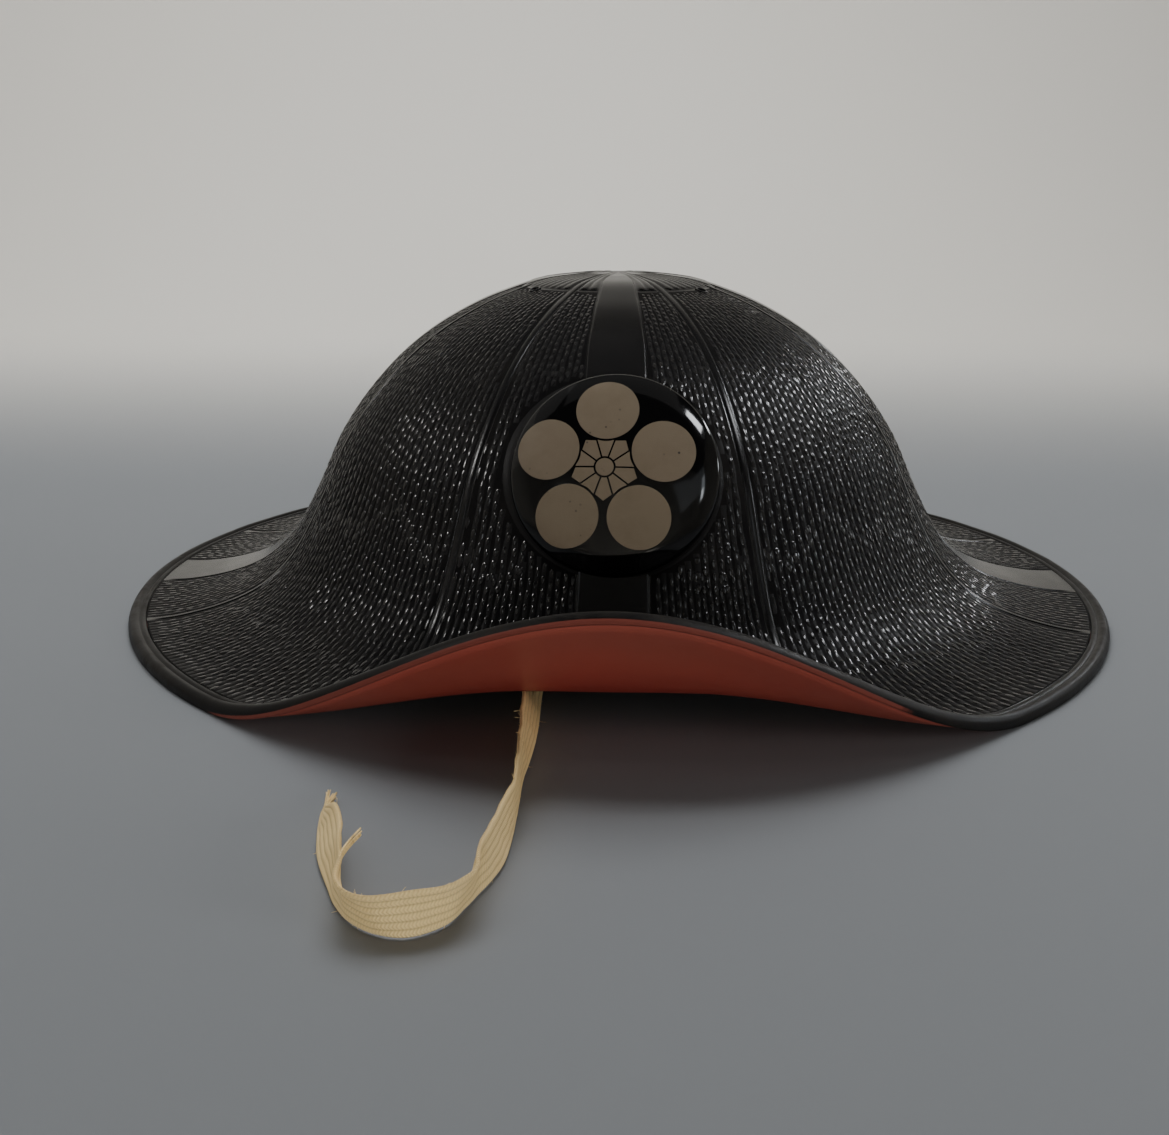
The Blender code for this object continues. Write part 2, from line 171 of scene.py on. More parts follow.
# a patchy finish: cloudy colour, uneven gloss and a fine unevenness of the surface
def makePatchy():
    colour, number = "NodeSocketColor", "NodeSocketFloat"
    group, given, result = newGroup("patchy", [
        ("Colour", "INPUT", colour, (0.1, 0.1, 0.1, 1)), ("Patch Colour", "INPUT", colour, (0.2, 0.2, 0.2, 1)),
        ("Patch Amount", "INPUT", number, 0.3), ("Patch Scale", "INPUT", number, 30.0),
        ("Roughness", "INPUT", number, 0.3), ("Roughness Spread", "INPUT", number, 0.1),
        ("Fine Scale", "INPUT", number, 900.0), ("Fine Height", "INPUT", number, 0.2),
        ("Colour", "OUTPUT", colour, None), ("Roughness", "OUTPUT", number, None),
        ("Normal", "OUTPUT", "NodeSocketVector", None)])
    place = objectPlace(group)
    mask = ramp(group, noise(group, place, given.outputs["Patch Scale"], 5.0, 0.62), 0.45, 0.72)
    share = calc(group, "MULTIPLY", mask, given.outputs["Patch Amount"])
    cloudy = mixColour(group, share, given.outputs["Colour"], given.outputs["Patch Colour"])
    group.links.new(cloudy, result.inputs["Colour"])
    blotch = calc(group, "ADD", calc(group, "SUBTRACT", noise(group, place, 110.0, 4.0), 0.5), share)
    uneven = calc(group, "MULTIPLY", blotch, given.outputs["Roughness Spread"])
    group.links.new(calc(group, "ADD", given.outputs["Roughness"], uneven), result.inputs["Roughness"])
    fine = noise(group, place, given.outputs["Fine Scale"], 3.0)
    bump = node(group, "ShaderNodeBump", {"Height": fine, "Strength": given.outputs["Fine Height"], "Distance": 0.0002})
    group.links.new(bump.outputs[0], result.inputs["Normal"])
    return group


patchy = makePatchy()
patchySockets = {"colours": ("Colour", "Patch Colour"), "patches": ("Patch Amount", "Patch Scale"),
                 "roughness": ("Roughness", "Roughness Spread"), "fine": ("Fine Scale", "Fine Height")}


def newMaterial(name, finish):
    material = bpy.data.materials.new(name)
    material.use_nodes = True
    tree = material.node_tree
    shader = tree.nodes["Principled BSDF"]
    effect = node(tree, "ShaderNodeGroup", node_tree=patchy)
    for part, sockets in patchySockets.items():
        for socket, value in zip(sockets, finish[part]):
            effect.inputs[socket].default_value = (*value, 1) if isinstance(value, tuple) else value
    for socket in ("Roughness", "Normal"):
        tree.links.new(effect.outputs[socket], shader.inputs[socket])
    tree.links.new(effect.outputs["Colour"], shader.inputs["Base Color"])
    for socket, value in finish.get("shader", {}).items():
        shader.inputs[socket].default_value = value
    return material, tree, shader, effect.outputs


def markValue(tree, name):
    return node(tree, "ShaderNodeAttribute", attribute_name=name).outputs["Fac"]


# upper surface of the hat: radius, height at the sides and back, height at the front
hat = {
    "profile": ((0, 125.6, 125.6), (25.5, 123.7, 123.7), (45, 118.1, 118.1), (63.7, 109.3, 109.3), (80, 98, 98),
                (95, 82.8, 82.8), (107.4, 65.3, 65.3), (115.8, 47.7, 47.7), (124, 32, 31.5), (130, 23, 21.5),
                (136, 17, 14.8), (143, 12, 13.2), (152, 8.2, 17.4), (164, 5.2, 26.5), (176, 3.7, 38.6),
                (182, 3.6, 44.2), (192, 3.6, 53.4)),
    "frontHalfAngle": ((140, 190), (31, 43)),      # how far the turned-up front reaches, valley and rim
    "edge": 183.4, "wall": 2.4, "skinTop": 2.7, "skinFoot": 3.5,
    "bandWidth": ((0, 3.5), (36, 6.2), (70, 9.4), (124, 11.3), (184, 14.5)),
    "ribs": ((26, 21), (69.5, 69.5), (110.5, 110.5), (154.5, 154.5),
             (205.5, 205.5), (249.5, 249.5), (290.5, 290.5), (334, 334)),      # angle at the ring, angle at the rim
    "flutes": ((2, 7, 1), (1, 7, 2)),              # between band and rib, rib and rib, rib and band
    "ring": 37.0, "cap": 9.5, "vent": 1.6, "ventRing": 38.5, "ventAngles": (53, 127, 233, 307),
    "ventBead": (0.38, 0.4, 0.32),                 # beyond the vent's edge, half width, height
}
profileTable = np.array(hat["profile"], float)


def easedSlopes(x, y):
    rise = np.diff(y) / np.diff(x)
    a, b = rise[:-1], rise[1:]
    same = a * b > 0
    return np.concatenate([[0], np.where(same, 2 * a * b / np.where(same, a + b, 1), 0), [rise[-1]]])


def alongProfile(radius, column):
    x, y = profileTable[:, 0], profileTable[:, column]
    slope = easedSlopes(x, y)
    i = np.clip(np.searchsorted(x, radius) - 1, 0, len(x) - 2)
    width, rise = x[i + 1] - x[i], y[i + 1] - y[i]
    t = (radius - x[i]) / width
    bend = slope[i] * t * (1 - t) ** 2 - slope[i + 1] * t * t * (1 - t)
    return y[i] + rise * t * t * (3 - 2 * t) + width * bend


def hatPoint(radius, angle):
    radius, angle = np.broadcast_arrays(np.asarray(radius, float), np.asarray(angle, float))
    reach = np.radians(np.interp(radius, *hat["frontHalfAngle"]))
    away = fromFront(angle)
    front = 0.5 + 0.5 * np.cos(np.pi * np.minimum(away / reach, 1))
    side = alongProfile(radius, 1)
    height = side + front * (alongProfile(radius, 2) - side)
    return np.stack([radius * np.sin(angle), -radius * np.cos(angle), height], -1)


def hatFrame(radius, angle):     # point, direction down the wall, upward normal
    radius, angle = np.broadcast_arrays(np.asarray(radius, float), np.asarray(angle, float))
    inner, wide = np.maximum(radius - 0.5, 0), np.maximum(radius, 1)
    down = unit(hatPoint(inner + 1, angle) - hatPoint(inner, angle))
    around = unit(hatPoint(wide, angle + 0.5 / wide) - hatPoint(wide, angle - 0.5 / wide))
    normal = np.where((radius < 0.01)[..., None], (0.0, 0.0, 1.0), unit(np.cross(down, around)))
    return hatPoint(radius, angle), down, normal


def lifted(radius, angle, lift):
    point, _, normal = hatFrame(radius, angle)
    return point + normal * np.asarray(lift, float)[..., None]


def bandHalfAngle(radius):
    wide = np.maximum(radius, 1)
    return np.minimum(np.interp(radius, *zip(*hat["bandWidth"])) / wide, 0.22)


def ribAngle(k, radius):
    return np.radians(np.interp(radius, (hat["ring"], hat["edge"]), hat["ribs"][k]))


# the domed boss on the front stands on a smooth fillet of lacquer, widest at its upper left
boss = {"seat": (0, -105.4, 68.8), "rise": math.radians(27.5), "turn": math.radians(-3.8), "radius": 33.6,
        "edgeHeight": 2.5, "round": 2.2, "dome": 115.0,
        "shoulder": (26.5, 1.7, 1.8),                   # where it starts, how far it falls, how late
        "fillet": (1.3, 2.6, math.radians(152))}        # least width, how much wider, towards where


def bossAxes():
    rise, turn = boss["rise"], boss["turn"]
    out = np.array((math.sin(turn) * math.cos(rise), -math.cos(turn) * math.cos(rise), math.sin(rise)))
    right = np.array((math.cos(turn), math.sin(turn), 0))
    return right, np.cross(out, right), out


def bossPoint(x, y, height):
    right, up, out = bossAxes()
    x, y, height = np.broadcast_arrays(x, y, height)
    return np.array(boss["seat"]) + x[..., None] * right + y[..., None] * up + height[..., None] * out


def filletWidth(turn):
    least, more, towards = boss["fillet"]
    return least + more * np.maximum(np.cos(turn - towards), 0) ** 1.5


def offBoss(radius, angle, margin):      # true where the crown is clear of the boss and its fillet
    point = hatPoint(radius, angle)
    right, up, _ = bossAxes()
    x, y = (point - np.array(boss["seat"])) @ right, (point - np.array(boss["seat"])) @ up
    return (np.hypot(x, y) > boss["radius"] + filletWidth(np.arctan2(y, x)) + margin) | (point[..., 1] > -40)


# the woven chin tape: lower edge x, y, height, and its lean from upright towards the right of its way
tape = {
    "route": ((-22.6, -106.5, 34, 90), (-22.4, -108.2, 23.1, 72), (-22.2, -110.4, 13.4, 52), (-22.1, -113.9, 6.4, 42),
              (-22.2, -119.9, 2.0, 34), (-22.4, -129.6, 0.6, 28), (-22.2, -140.6, 0.6, 25), (-22.1, -146.6, 0.6, 23),
              (-22, -152.6, 0.6, 21), (-22.2, -163.6, 0.6, 18), (-22.9, -175.6, 0.6, 11), (-23.9, -187.5, 0.6, 4),
              (-24, -199.5, 0.6, 1), (-24, -211.5, 0.6, 0), (-24.2, -223.5, 0.6, 8), (-24.9, -233.5, 0.6, 12),
              (-26.9, -241.2, 0.6, 7), (-29.4, -247.7, 0.6, 0), (-32.1, -254.2, 0.6, -14), (-35.5, -261.3, 0.6, -10),
              (-42.5, -266.1, 0.6, -1), (-49.9, -265, 0.6, -15), (-56.3, -260.5, 0.6, -12), (-60.9, -254.1, 0.6, 7),
              (-64.2, -246.8, 0.6, 16), (-67.4, -239.5, 0.6, 25), (-70.1, -232, 0.6, 30), (-71.9, -224.2, 0.6, 26),
              (-73.2, -216.3, 0.6, 24), (-74.3, -207.4, 0.6, 24), (-75.7, -197.6, 0.6, 24)),
    "width": 12.0, "core": 0.3, "ribRise": 0.22, "ribs": 6, "step": 1.0,
    "frayFrom": 12.0, "taper": (30.0, 0.68),        # from the end: where the weave stops; where it narrows, by how much
    "threads": 60, "lowTuft": 0.62, "tuftTips": (0.8, 2.2), "strays": 70,
    "lip": (160, 174, 200, 214, 1.0),               # where the upper edge turns outward and back, and by how much
    "strand": {"from": 211, "up": 9.8, "threads": 7, "length": 7.6, "curl": 7.8, "rise": 3.2, "radius": 0.27},
}


def tapeStations(step):
    rows = np.array(tape["route"], float)
    ends = np.vstack([2 * rows[0] - rows[1], rows, 2 * rows[-1] - rows[-2]])
    dense = []
    for a, b, c, d in zip(ends, ends[1:], ends[2:], ends[3:]):
        t = np.linspace(0, 1, 24, endpoint=False)[:, None]
        curve = 2 * b + (c - a) * t + (2 * a - 5 * b + 4 * c - d) * t ** 2 + (3 * b - a - 3 * c + d) * t ** 3
        dense.append(0.5 * curve)
    dense = np.vstack(dense + [rows[-1:]])
    way = wayAlong(dense[:, :3])
    stations = np.linspace(0, way[-1], int(way[-1] / step) + 1)
    line = np.column_stack([np.interp(stations, way, dense[:, i]) for i in range(4)])
    along = unit(np.gradient(line[:, :3], axis=0))
    right = unit(np.cross(along, (0, 0, 1)))
    upright = unit(np.cross(right, along))
    lean = np.radians(line[:, 3])[:, None]
    across = upright * np.cos(lean) + right * np.sin(lean)
    return stations, line[:, :3], along, across, unit(np.cross(across, along))


def tubes(lines, radii, sides=5, start=0):     # round threads along lines of points, as one set of points and faces
    points, faces = [], []
    turn = circle(sides)
    for line, radius in zip(lines, radii):
        along = unit(np.gradient(line, axis=0))
        side = unit(np.cross(along, (0.31, 0.17, 0.94)))
        up = np.cross(side, along)
        thin = radius * np.linspace(1, 0.7, len(line))[:, None, None]
        spoke = side[:, None] * np.cos(turn)[None, :, None] + up[:, None] * np.sin(turn)[None, :, None]
        ring = line[:, None] + thin * spoke
        points.append(ring.reshape(-1, 3))
        faces += gridFaces(len(line), sides, closeColumns=True, start=start)
        end = start + len(line) * sides
        faces += [list(range(start, start + sides)), list(range(end - sides, end))]
        start = end
    return np.vstack(points), faces


def makeTape(material):
    stations, edge, along, across, face = tapeStations(tape["step"])
    length = stations[-1]
    pointsPerRib = 6
    u = np.linspace(0, 1, tape["ribs"] * pointsPerRib + 1)
    body = tape["core"] + tape["ribRise"] * np.abs(np.sin(np.pi * u * tape["ribs"])) ** 0.6
    body[0] = body[-1] = 0.16
    sway = 0.16 * np.sin(stations * 0.33) + 0.1 * np.sin(stations * 0.71 + 1)       # soft waves of slack cloth
    sway *= fade(stations, 2, 20)
    keep = stations <= length - tape["frayFrom"]
    wide = tape["width"] * (1 - tape["taper"][1] * fade(stations, length - tape["taper"][0], length - tape["frayFrom"]))
    lip = tape["lip"][4] * fade(stations, *tape["lip"][:2]) * (1 - fade(stations, *tape["lip"][2:4]))
    rows = []
    for k in np.where(keep)[0]:
        over = edge[k] + np.outer(u * wide[k], across[k]) + np.outer(lip[k] * fade(u, 0.62, 1.0) ** 1.5, face[k])
        bulge = (sway[k] * np.sin(np.pi * u * 1.3) + 0.25 * (u - 0.5) ** 2)[:, None]
        top, under = over + (body[:, None] + bulge) * face[k], over - (body[:, None] - bulge) * face[k]
        rows.append(np.vstack([top, under[::-1]]))
    points = np.array(rows)
    count = points.shape[1]
    faces = gridFaces(len(rows), count, closeColumns=True)
    faces += [list(range(count)), list(range((len(rows) - 1) * count, len(rows) * count))]
    across2 = np.concatenate([u, u[::-1]]) * tape["width"]
    lengths = np.stack(np.meshgrid(across2, stations[keep]), -1).reshape(-1, 2)
    points[..., 2] = np.maximum(points[..., 2], 0.12)
    points = points.reshape(-1, 3)
    # the tape ends in a long tuft below and a short one at its upper edge
    lines, radii = [], []
    last = np.where(keep)[0][-1]
    reach = length - stations[last]
    for j in range(tape["threads"]):
        u0 = (j + 0.5) / tape["threads"]
        low = u0 < tape["lowTuft"]
        begin = last if low else last - int(scatter.uniform(1, 5))
        t = np.linspace(-0.35, 1, 9) * reach * scatter.uniform(0.7, 1.0)
        gather = np.clip(t / reach, 0, 1.3)
        place = u0 / tape["lowTuft"] * wide[last] if low else wide[begin] - (1 - u0) * 5
        place += scatter.normal(0, 0.08)
        place = place + (tape["tuftTips"][0 if low else 1] - place) * 0.9 * np.clip(gather, 0, 1)
        curl = np.outer(gather ** 2, scatter.normal(0, 0.3) * face[last] + scatter.normal(0, 0.25) * across[last])
        curl -= np.outer(gather ** 1.5, (0.0 if low else 2.3) * face[last])
        thread = edge[begin] + along[begin] * t[:, None] + np.outer(place, across[begin])
        lines.append(thread + face[begin] * scatter.normal(0, 0.14) + curl)
        radii.append(0.17)
    # short stray fibres along both edges
    for j in range(tape["strays"]):
        k = int(scatter.uniform(24, last - 2))
        low = scatter.random() < 0.5
        s = edge[k] + (across[k] * 0.1 if low else across[k] * (wide[k] - 0.1) + lip[k] * face[k])
        t = np.linspace(0, 1, 5)[:, None]
        way = across[k] * (-1 if low else 1) * scatter.uniform(0.2, 0.9)
        way = way + along[k] * scatter.uniform(-1, 1) + face[k] * scatter.normal(0, 0.6)
        lines.append(s + unit(way) * scatter.uniform(0.8, 2.2) * t + face[k] * scatter.normal(0, 0.4) * t ** 2)
        radii.append(0.05)
    loose, looseFaces = tubes(lines, radii, start=len(points))
    loose[:, 2] = np.maximum(loose[:, 2], 0.1)
    made = newPiece("chin_tape_woven", np.vstack([points, loose]), faces + looseFaces, material,
                    lengths=np.vstack([lengths, loose[:, :2]]))
    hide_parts("chin_tape")
    # one edge strand has come away further down and curls into the loop
    lock = tape["strand"]
    begin = int(np.searchsorted(stations, lock["from"]))
    lines = []
    for j in range(lock["threads"]):
        t = np.linspace(0, 1, 12)[:, None]
        foot = edge[begin] + across[begin] * (lock["up"] + 0.3 * j)
        free = foot + along[begin] * (lock["length"] + scatter.uniform(-0.5, 0.5)) * t
        free = free - face[begin] * lock["curl"] * t ** 1.5 + np.array((0, 0, lock["rise"])) * t ** 1.2
        lines.append(free + scatter.normal(0, 0.1, 3) * t)
    points, faces = tubes(lines, [lock["radius"]] * lock["threads"])
    strand = newPiece("tape_loose_strand", points, faces, material, lengths=points[:, :2])
    return length


cotton = {
    "colours": ((0.97, 0.74, 0.36), (0.93, 0.66, 0.28)), "patches": (0.5, 60.0),
    "roughness": (0.9, 0.1), "fine": (2500.0, 0.4),
    "shader": {"Sheen Weight": 0.1, "Sheen Roughness": 0.5, "Specular IOR Level": 0.12},
    # the dips between threads and the grooves between the ribs are painted darker, towards a brown: painted shade of
    # the weave
    "threadPitch": 0.8, "slant": 0.7, "threadShade": 0.24, "gapShade": 0.6, "grooveShade": (0.44, 0.30, 0.14),
}


def makeCotton():
    material, tree, shader, out = newMaterial("cottonTape", cotton)
    place = node(tree, "ShaderNodeUVMap", uv_map="lengths").outputs[0]
    split = node(tree, "ShaderNodeSeparateXYZ", {"Vector": place})
    across, along = split.outputs[0], split.outputs[1]
    strand = calc(tree, "DIVIDE", across, tape["width"] / tape["ribs"])
    side = calc(tree, "ABSOLUTE", calc(tree, "SUBTRACT", calc(tree, "FRACT", strand), 0.5))    # 0 on a rib, 0.5 between
    lean = calc(tree, "MULTIPLY", side, 2 * cotton["slant"])
    turns = calc(tree, "ADD", calc(tree, "DIVIDE", along, cotton["threadPitch"]), lean)
    thread = calc(tree, "ABSOLUTE", calc(tree, "SINE", calc(tree, "MULTIPLY", turns, math.pi)))
    # painted shade: darker in the grooves between the ribs and in the dips between the threads
    gap = calc(tree, "POWER", calc(tree, "MULTIPLY", side, 2), 4)
    onThread = calc(tree, "ADD", 1 - cotton["threadShade"], calc(tree, "MULTIPLY", thread, cotton["threadShade"]))
    shade = calc(tree, "MULTIPLY", onThread, calc(tree, "SUBTRACT", 1, calc(tree, "MULTIPLY", gap, cotton["gapShade"])))
    dark = mixColour(tree, shade, (*cotton["grooveShade"], 1), out["Colour"])
    tree.links.new(dark, shader.inputs["Base Color"])
    bump = node(tree, "ShaderNodeBump", {"Height": thread, "Strength": 0.75, "Distance": 0.00025,
                                         "Normal": out["Normal"]})
    tree.links.new(bump.outputs[0], shader.inputs["Normal"])
    return material


tapeLength = makeTape(makeCotton())
print(f"tape: {tapeLength:.1f} mm long")


# black lacquer: glossy on bands and ribs, duller on the ground between the grains, polished on top of them; the ridges
# and grains are coloured lighter than the ground and the bands, a painted sheen
crownFinish = {
    "colours": ((0.0045, 0.0042, 0.0045), (0.012, 0.011, 0.010)), "patches": (0.5, 22.0),
    "roughness": (0.22, 0.12), "fine": (1500.0, 0.12), "shader": {"Specular IOR Level": 0.3},
}
groundFinish = {
    "colours": ((0.0055, 0.0052, 0.0055), (0.016, 0.0145, 0.013)), "patches": (0.6, 26.0),
    "roughness": (0.55, 0.12), "fine": (1300.0, 0.5), "shader": {"Specular IOR Level": 0.03},
}
# the ridges' lighter colour is a painted sheen
ridgeFinishAndSheen = {
    "colours": ((0.008, 0.0076, 0.0079), (0.016, 0.0148, 0.0137)), "patches": (0.5, 26.0),
    "roughness": (0.45, 0.14), "fine": (1300.0, 0.3), "shader": {"Specular IOR Level": 0.13},
}
# the grains' lighter colour is a painted sheen
grainFinishAndSheen = {
    "colours": ((0.010, 0.0095, 0.0098), (0.020, 0.0185, 0.017)), "patches": (0.5, 30.0),
    "roughness": (0.14, 0.14), "fine": (1600.0, 0.15), "shader": {"Specular IOR Level": 0.45},
}
blackLacquer, groundLacquer, ridgeLacquer, grainLacquer = (newMaterial(name, finish)[0] for name, finish in (
    ("blackLacquer", crownFinish), ("groundLacquer", groundFinish),
    ("ridgeLacquer", ridgeFinishAndSheen), ("grainLacquer", grainFinishAndSheen)))

# cross-sections in millimetres from the edge of a band and from the middle of a rib, with their rise
bandEdge = ((-1.2, 0.3), (-0.7, 0.3), (-0.3, 0.28), (-0.08, 0.2), (0.06, 0.04), (0.25, -0.06), (0.5, -0.06), (0.8, 0.0))
ribHalf = ((0, 0.3), (0.35, 0.29), (0.7, 0.25), (0.95, 0.17), (1.12, 0.04), (1.25, -0.12), (1.45, -0.14),
           (1.65, -0.08), (1.85, 0.0))
fluteRise = 0.36
crownRings = np.concatenate([
    [0, 3, 6, 8.4, 9.1, 9.5, 10.2, 11.5, 13.5, 16, 19, 22, 25.5, 29, 32],
    [33.6, 34.6, 35.3, 35.8, 36.2, 36.6, 37, 37.5, 38.2, 39.5],
    np.arange(42.5, 176, 3.0), [177.5, 179.5, 181, 182.2, 183, 183.4]])
wallRings = np.array([0, 24, 37, 48, 59, 70, 80, 90, 98, 106, 112, 118, 124, 130, 137, 146, 157, 170, 183.4])


def fluteShape(u, length, pitch):     # one rounded flute with a rounded outer end
    half = max(pitch / 2, 0.2)
    end = np.clip((length - (hat["ring"] - 0.8 - half)) / half, 0, 1)
    reach = 1 - u * u - end * end
    return fluteRise * max(reach, 0) ** 0.6 * float(fade(length, hat["cap"], hat["cap"] + 3.5))


def fluteCells(flutes):      # columns of faces across a run of flutes
    return flutes * (6 if flutes > 1 else 8)


def crownColumns(radius):
    # every column round the hat as (angle, rise); the count is the same at every radius
    r = max(radius, 1.0)
    shrink = min(1.0, r / 33)
    half = float(bandHalfAngle(radius))
    grown = float(fade(radius, hat["cap"], 15) * (1 - fade(radius, 177, 182.5)))
    inRing = radius < hat["ring"] - 0.4
    ringCut = -0.22 if abs(radius - hat["ring"]) < 0.55 else 0.0
    plain = 0.0 if radius > hat["ring"] else 0.12
    plain += ringCut
    columns = []
    for quarter in range(4):
        start = quarter * math.pi / 2
        ribs = [float(ribAngle(2 * quarter + i, radius)) for i in range(2)]
        after = start + math.pi / 2
        inner = half + bandEdge[0][0] * shrink / r
        columns += [(start + inner * t, bandEdge[0][1] * grown) for t in (0, 0.3, 0.6, 0.85)]
        columns += [(start + half + d * shrink / r, h * grown) for d, h in bandEdge]
        for i, (ribMiddle, flutes) in enumerate(zip(ribs + [None], hat["flutes"][quarter % 2])):
            a = columns[-1][0]
            b = after - half - bandEdge[-1][0] * shrink / r
            if ribMiddle is not None:
                b = ribMiddle - ribHalf[-1][0] * shrink / r
            cells = fluteCells(flutes)
            pitch = (b - a) / flutes * r
            for k in range(1, cells):
                t = k / cells
                u = 2 * ((t * flutes) % 1) - 1
                rise = plain + (fluteShape(u, radius, pitch) if inRing else 0.0)
                columns.append((a + (b - a) * t, rise))
            if ribMiddle is not None:
                wings = [(-d, h) for d, h in ribHalf[:0:-1]] + list(ribHalf)
                columns += [(ribMiddle + d * shrink / r, h * grown) for d, h in wings]
        columns += [(after - half - d * shrink / r, h * grown) for d, h in bandEdge[::-1]]
        columns += [(after - inner * t, bandEdge[0][1] * grown) for t in (0.85, 0.6, 0.3)]
    return np.array(columns)


def smoothColumns():
    # which columns of faces lie on a band, a rib or a groove beside them
    flat = []
    for quarter in range(4):
        flat += [True] * (4 + len(bandEdge) - 1)
        for i, flutes in enumerate(hat["flutes"][quarter % 2]):
            flat += [False] * fluteCells(flutes)
            if i < 2:
                flat += [True] * (2 * len(ribHalf) - 2)
        flat += [True] * (len(bandEdge) - 1 + 4)
    return np.array(flat[:-1] + [True])


def makeCrown(material, ground):
    upper = np.array([crownColumns(r) for r in crownRings])
    under = np.array([crownColumns(r)[:, 0] for r in wallRings])
    top = lifted(crownRings[1:, None], upper[1:, :, 0], upper[1:, :, 1])
    foot = lifted(wallRings[1:, None], under[1:], np.full(under[1:].shape, -hat["wall"]))
    grid = np.concatenate([top, foot[::-1]])
    rows, count = grid.shape[:2]
    points = np.vstack([grid.reshape(-1, 3), lifted(0.0, 0.0, 0.12), lifted(0.0, 0.0, -hat["wall"])])
    faces = cappedFaces(rows, count)
    crown = newPiece("crown_lacquered", points, faces, material)
    crown.data.materials.append(ground)
    dull = np.zeros(len(faces), np.int32)
    rough = ~smoothColumns()
    inside = (crownRings[1:-1] > hat["ring"]) & (crownRings[1:-1] < 183.2)
    dull[:(rows - 1) * count].reshape(rows - 1, count)[:len(inside)] = inside[:, None] & rough[None, :count]
    crown.data.polygons.foreach_set("material_index", dull)
    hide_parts("crown_shell")
    return crown


def cutVents(pieces):
    # four small round vents through every layer
    points, faces = [], []
    n, above, below = 24, 5, 8
    turn = circle(n)
    for k, angle in enumerate(hat["ventAngles"]):
        middle, down, normal = hatFrame(hat["ventRing"], math.radians(angle))
        side = np.cross(normal, down)
        ring = hat["vent"] * (np.outer(np.cos(turn), down) + np.outer(np.sin(turn), side))
        points += [middle + ring + above * normal, middle + ring - below * normal]
        s = k * 2 * n
        faces += gridFaces(2, n, closeColumns=True, start=s) + [list(range(s, s + n)), list(range(s + n, s + 2 * n))]
    cutter = newPiece("vent_cutter", np.vstack(points), faces, pieces[0].data.materials[0])
    for piece in pieces:
        hole = piece.modifiers.new("vents", "BOOLEAN")
        hole.operation, hole.solver, hole.object = "DIFFERENCE", "EXACT", cutter
        bpy.context.view_layer.update()
        cut = bpy.data.meshes.new_from_object(piece.evaluated_get(bpy.context.evaluated_depsgraph_get()))
        piece.modifiers.clear()
        old, piece.data = piece.data, cut
        bpy.data.meshes.remove(old)
    bpy.data.objects.remove(cutter)


def makeVentRings(material):
    # a small raised ring of lacquer round each vent
    points, faces = [], []
    around, across = 28, 8
    outward, wide, high = hat["ventBead"]
    turn, roll = circle(around), circle(across)
    for k, angle in enumerate(hat["ventAngles"]):
        middle, down, normal = hatFrame(hat["ventRing"], math.radians(angle))
        side = np.cross(normal, down)
        spoke = np.outer(np.cos(turn), down) + np.outer(np.sin(turn), side)
        reach = hat["vent"] + outward + wide * np.cos(roll)
        ring = middle + spoke[:, None] * reach[None, :, None] + normal * (0.1 + high * np.sin(roll))[None, :, None]
        points.append(ring.reshape(-1, 3))
        faces += gridFaces(around, across, closeRows=True, closeColumns=True, start=k * around * across)
    newPiece("vent_rings", np.vstack(points), faces, material)


# drop-shaped grains in rows from the ring to the rim; each zone of the hat has its own number of rows
grain = {
    "zones": ((39.3, 57, 150), (57, 82, 204), (82, 118, 240), (118, 150, 326), (150, 182, 374)),      # from, to, rows
    "spacing": ((40, 2.3), (60, 2.9), (77, 3.6), (88, 4.1), (140, 4.2), (185, 4.4)),
    "width": 0.6, "length": 0.82, "rise": 0.18, "sides": 8, "tilt": 0.08, "wave": 0.07,
    "clear": (0.7, 1.6, 1.2),                      # of a band's edge, a rib's middle, the boss
    "smooth": (3.4, 9.5), "smoothFront": (26, 104),      # how near a rib; where the second holds, by the front band
}
ridge = {
    "shape": ((-0.37, -0.3), (-0.25, 0.55), (0, 1.0), (0.25, 0.55), (0.37, -0.3)),     # shares of pitch and rise
    "rise": 0.035, "step": 2.1, "seam": 1.3, "clear": (0.8, 1.5, 0.5),
}


def rowDrift(angle, radius):
    # the rows on either side of the first rib lean with it
    away = (np.degrees(angle) + 180) % 360 - 180
    lean = np.radians(np.interp(away, (4, 26, 66), (0, hat["ribs"][0][1] - hat["ribs"][0][0], 0)))
    return lean * (radius - hat["ring"]) / (hat["edge"] - hat["ring"])


def rowLine(rows, k, radius):      # one row's angle along the radius: it drifts with the ribs and wavers a little
    middle = (k + 0.5) * 2 * math.pi / rows
    waver = grain["wave"] * (np.sin(radius * 1.05 + k * 2.4) + 0.6 * np.sin(radius * 0.43 + k * 1.3))
    return middle + rowDrift(middle, radius) + waver * 2 * math.pi / rows


def lobeShare(radius, angle):      # 1 on the side lobes between their ribs, where the rows run together into lines
    away = np.abs((np.degrees(angle) + 180) % 360 - 180)
    return fade(radius, 136, 150) * (1 - fade(np.abs(away - 90), 20, 28))


def zoneEdge(radius, angle):       # the ragged line where one zone's rows give way to the next
    return radius + 2.6 * np.sin(angle * 9 + radius) + 1.9 * np.sin(angle * 23 + radius * 3)


def roomAt(radius, angle):
    # distance in millimetres to the nearest band edge and to the nearest rib's middle
    quarter = math.pi / 2
    toBand = np.abs((angle + quarter / 2) % quarter - quarter / 2) - bandHalfAngle(radius)
    toRib = np.min([fromFront(angle - ribAngle(k, radius)) for k in range(8)], axis=0)
    return toBand * radius, toRib * radius


def smoothRows(radius, angle, toRib):
    # rows next to a rib are smooth lines, more of them low down beside the front band
    reach, start = grain["smoothFront"]
    front = (fromFront(angle) < math.radians(reach)) & (radius > start)
    return toRib < np.where(front, grain["smooth"][1], grain["smooth"][0])


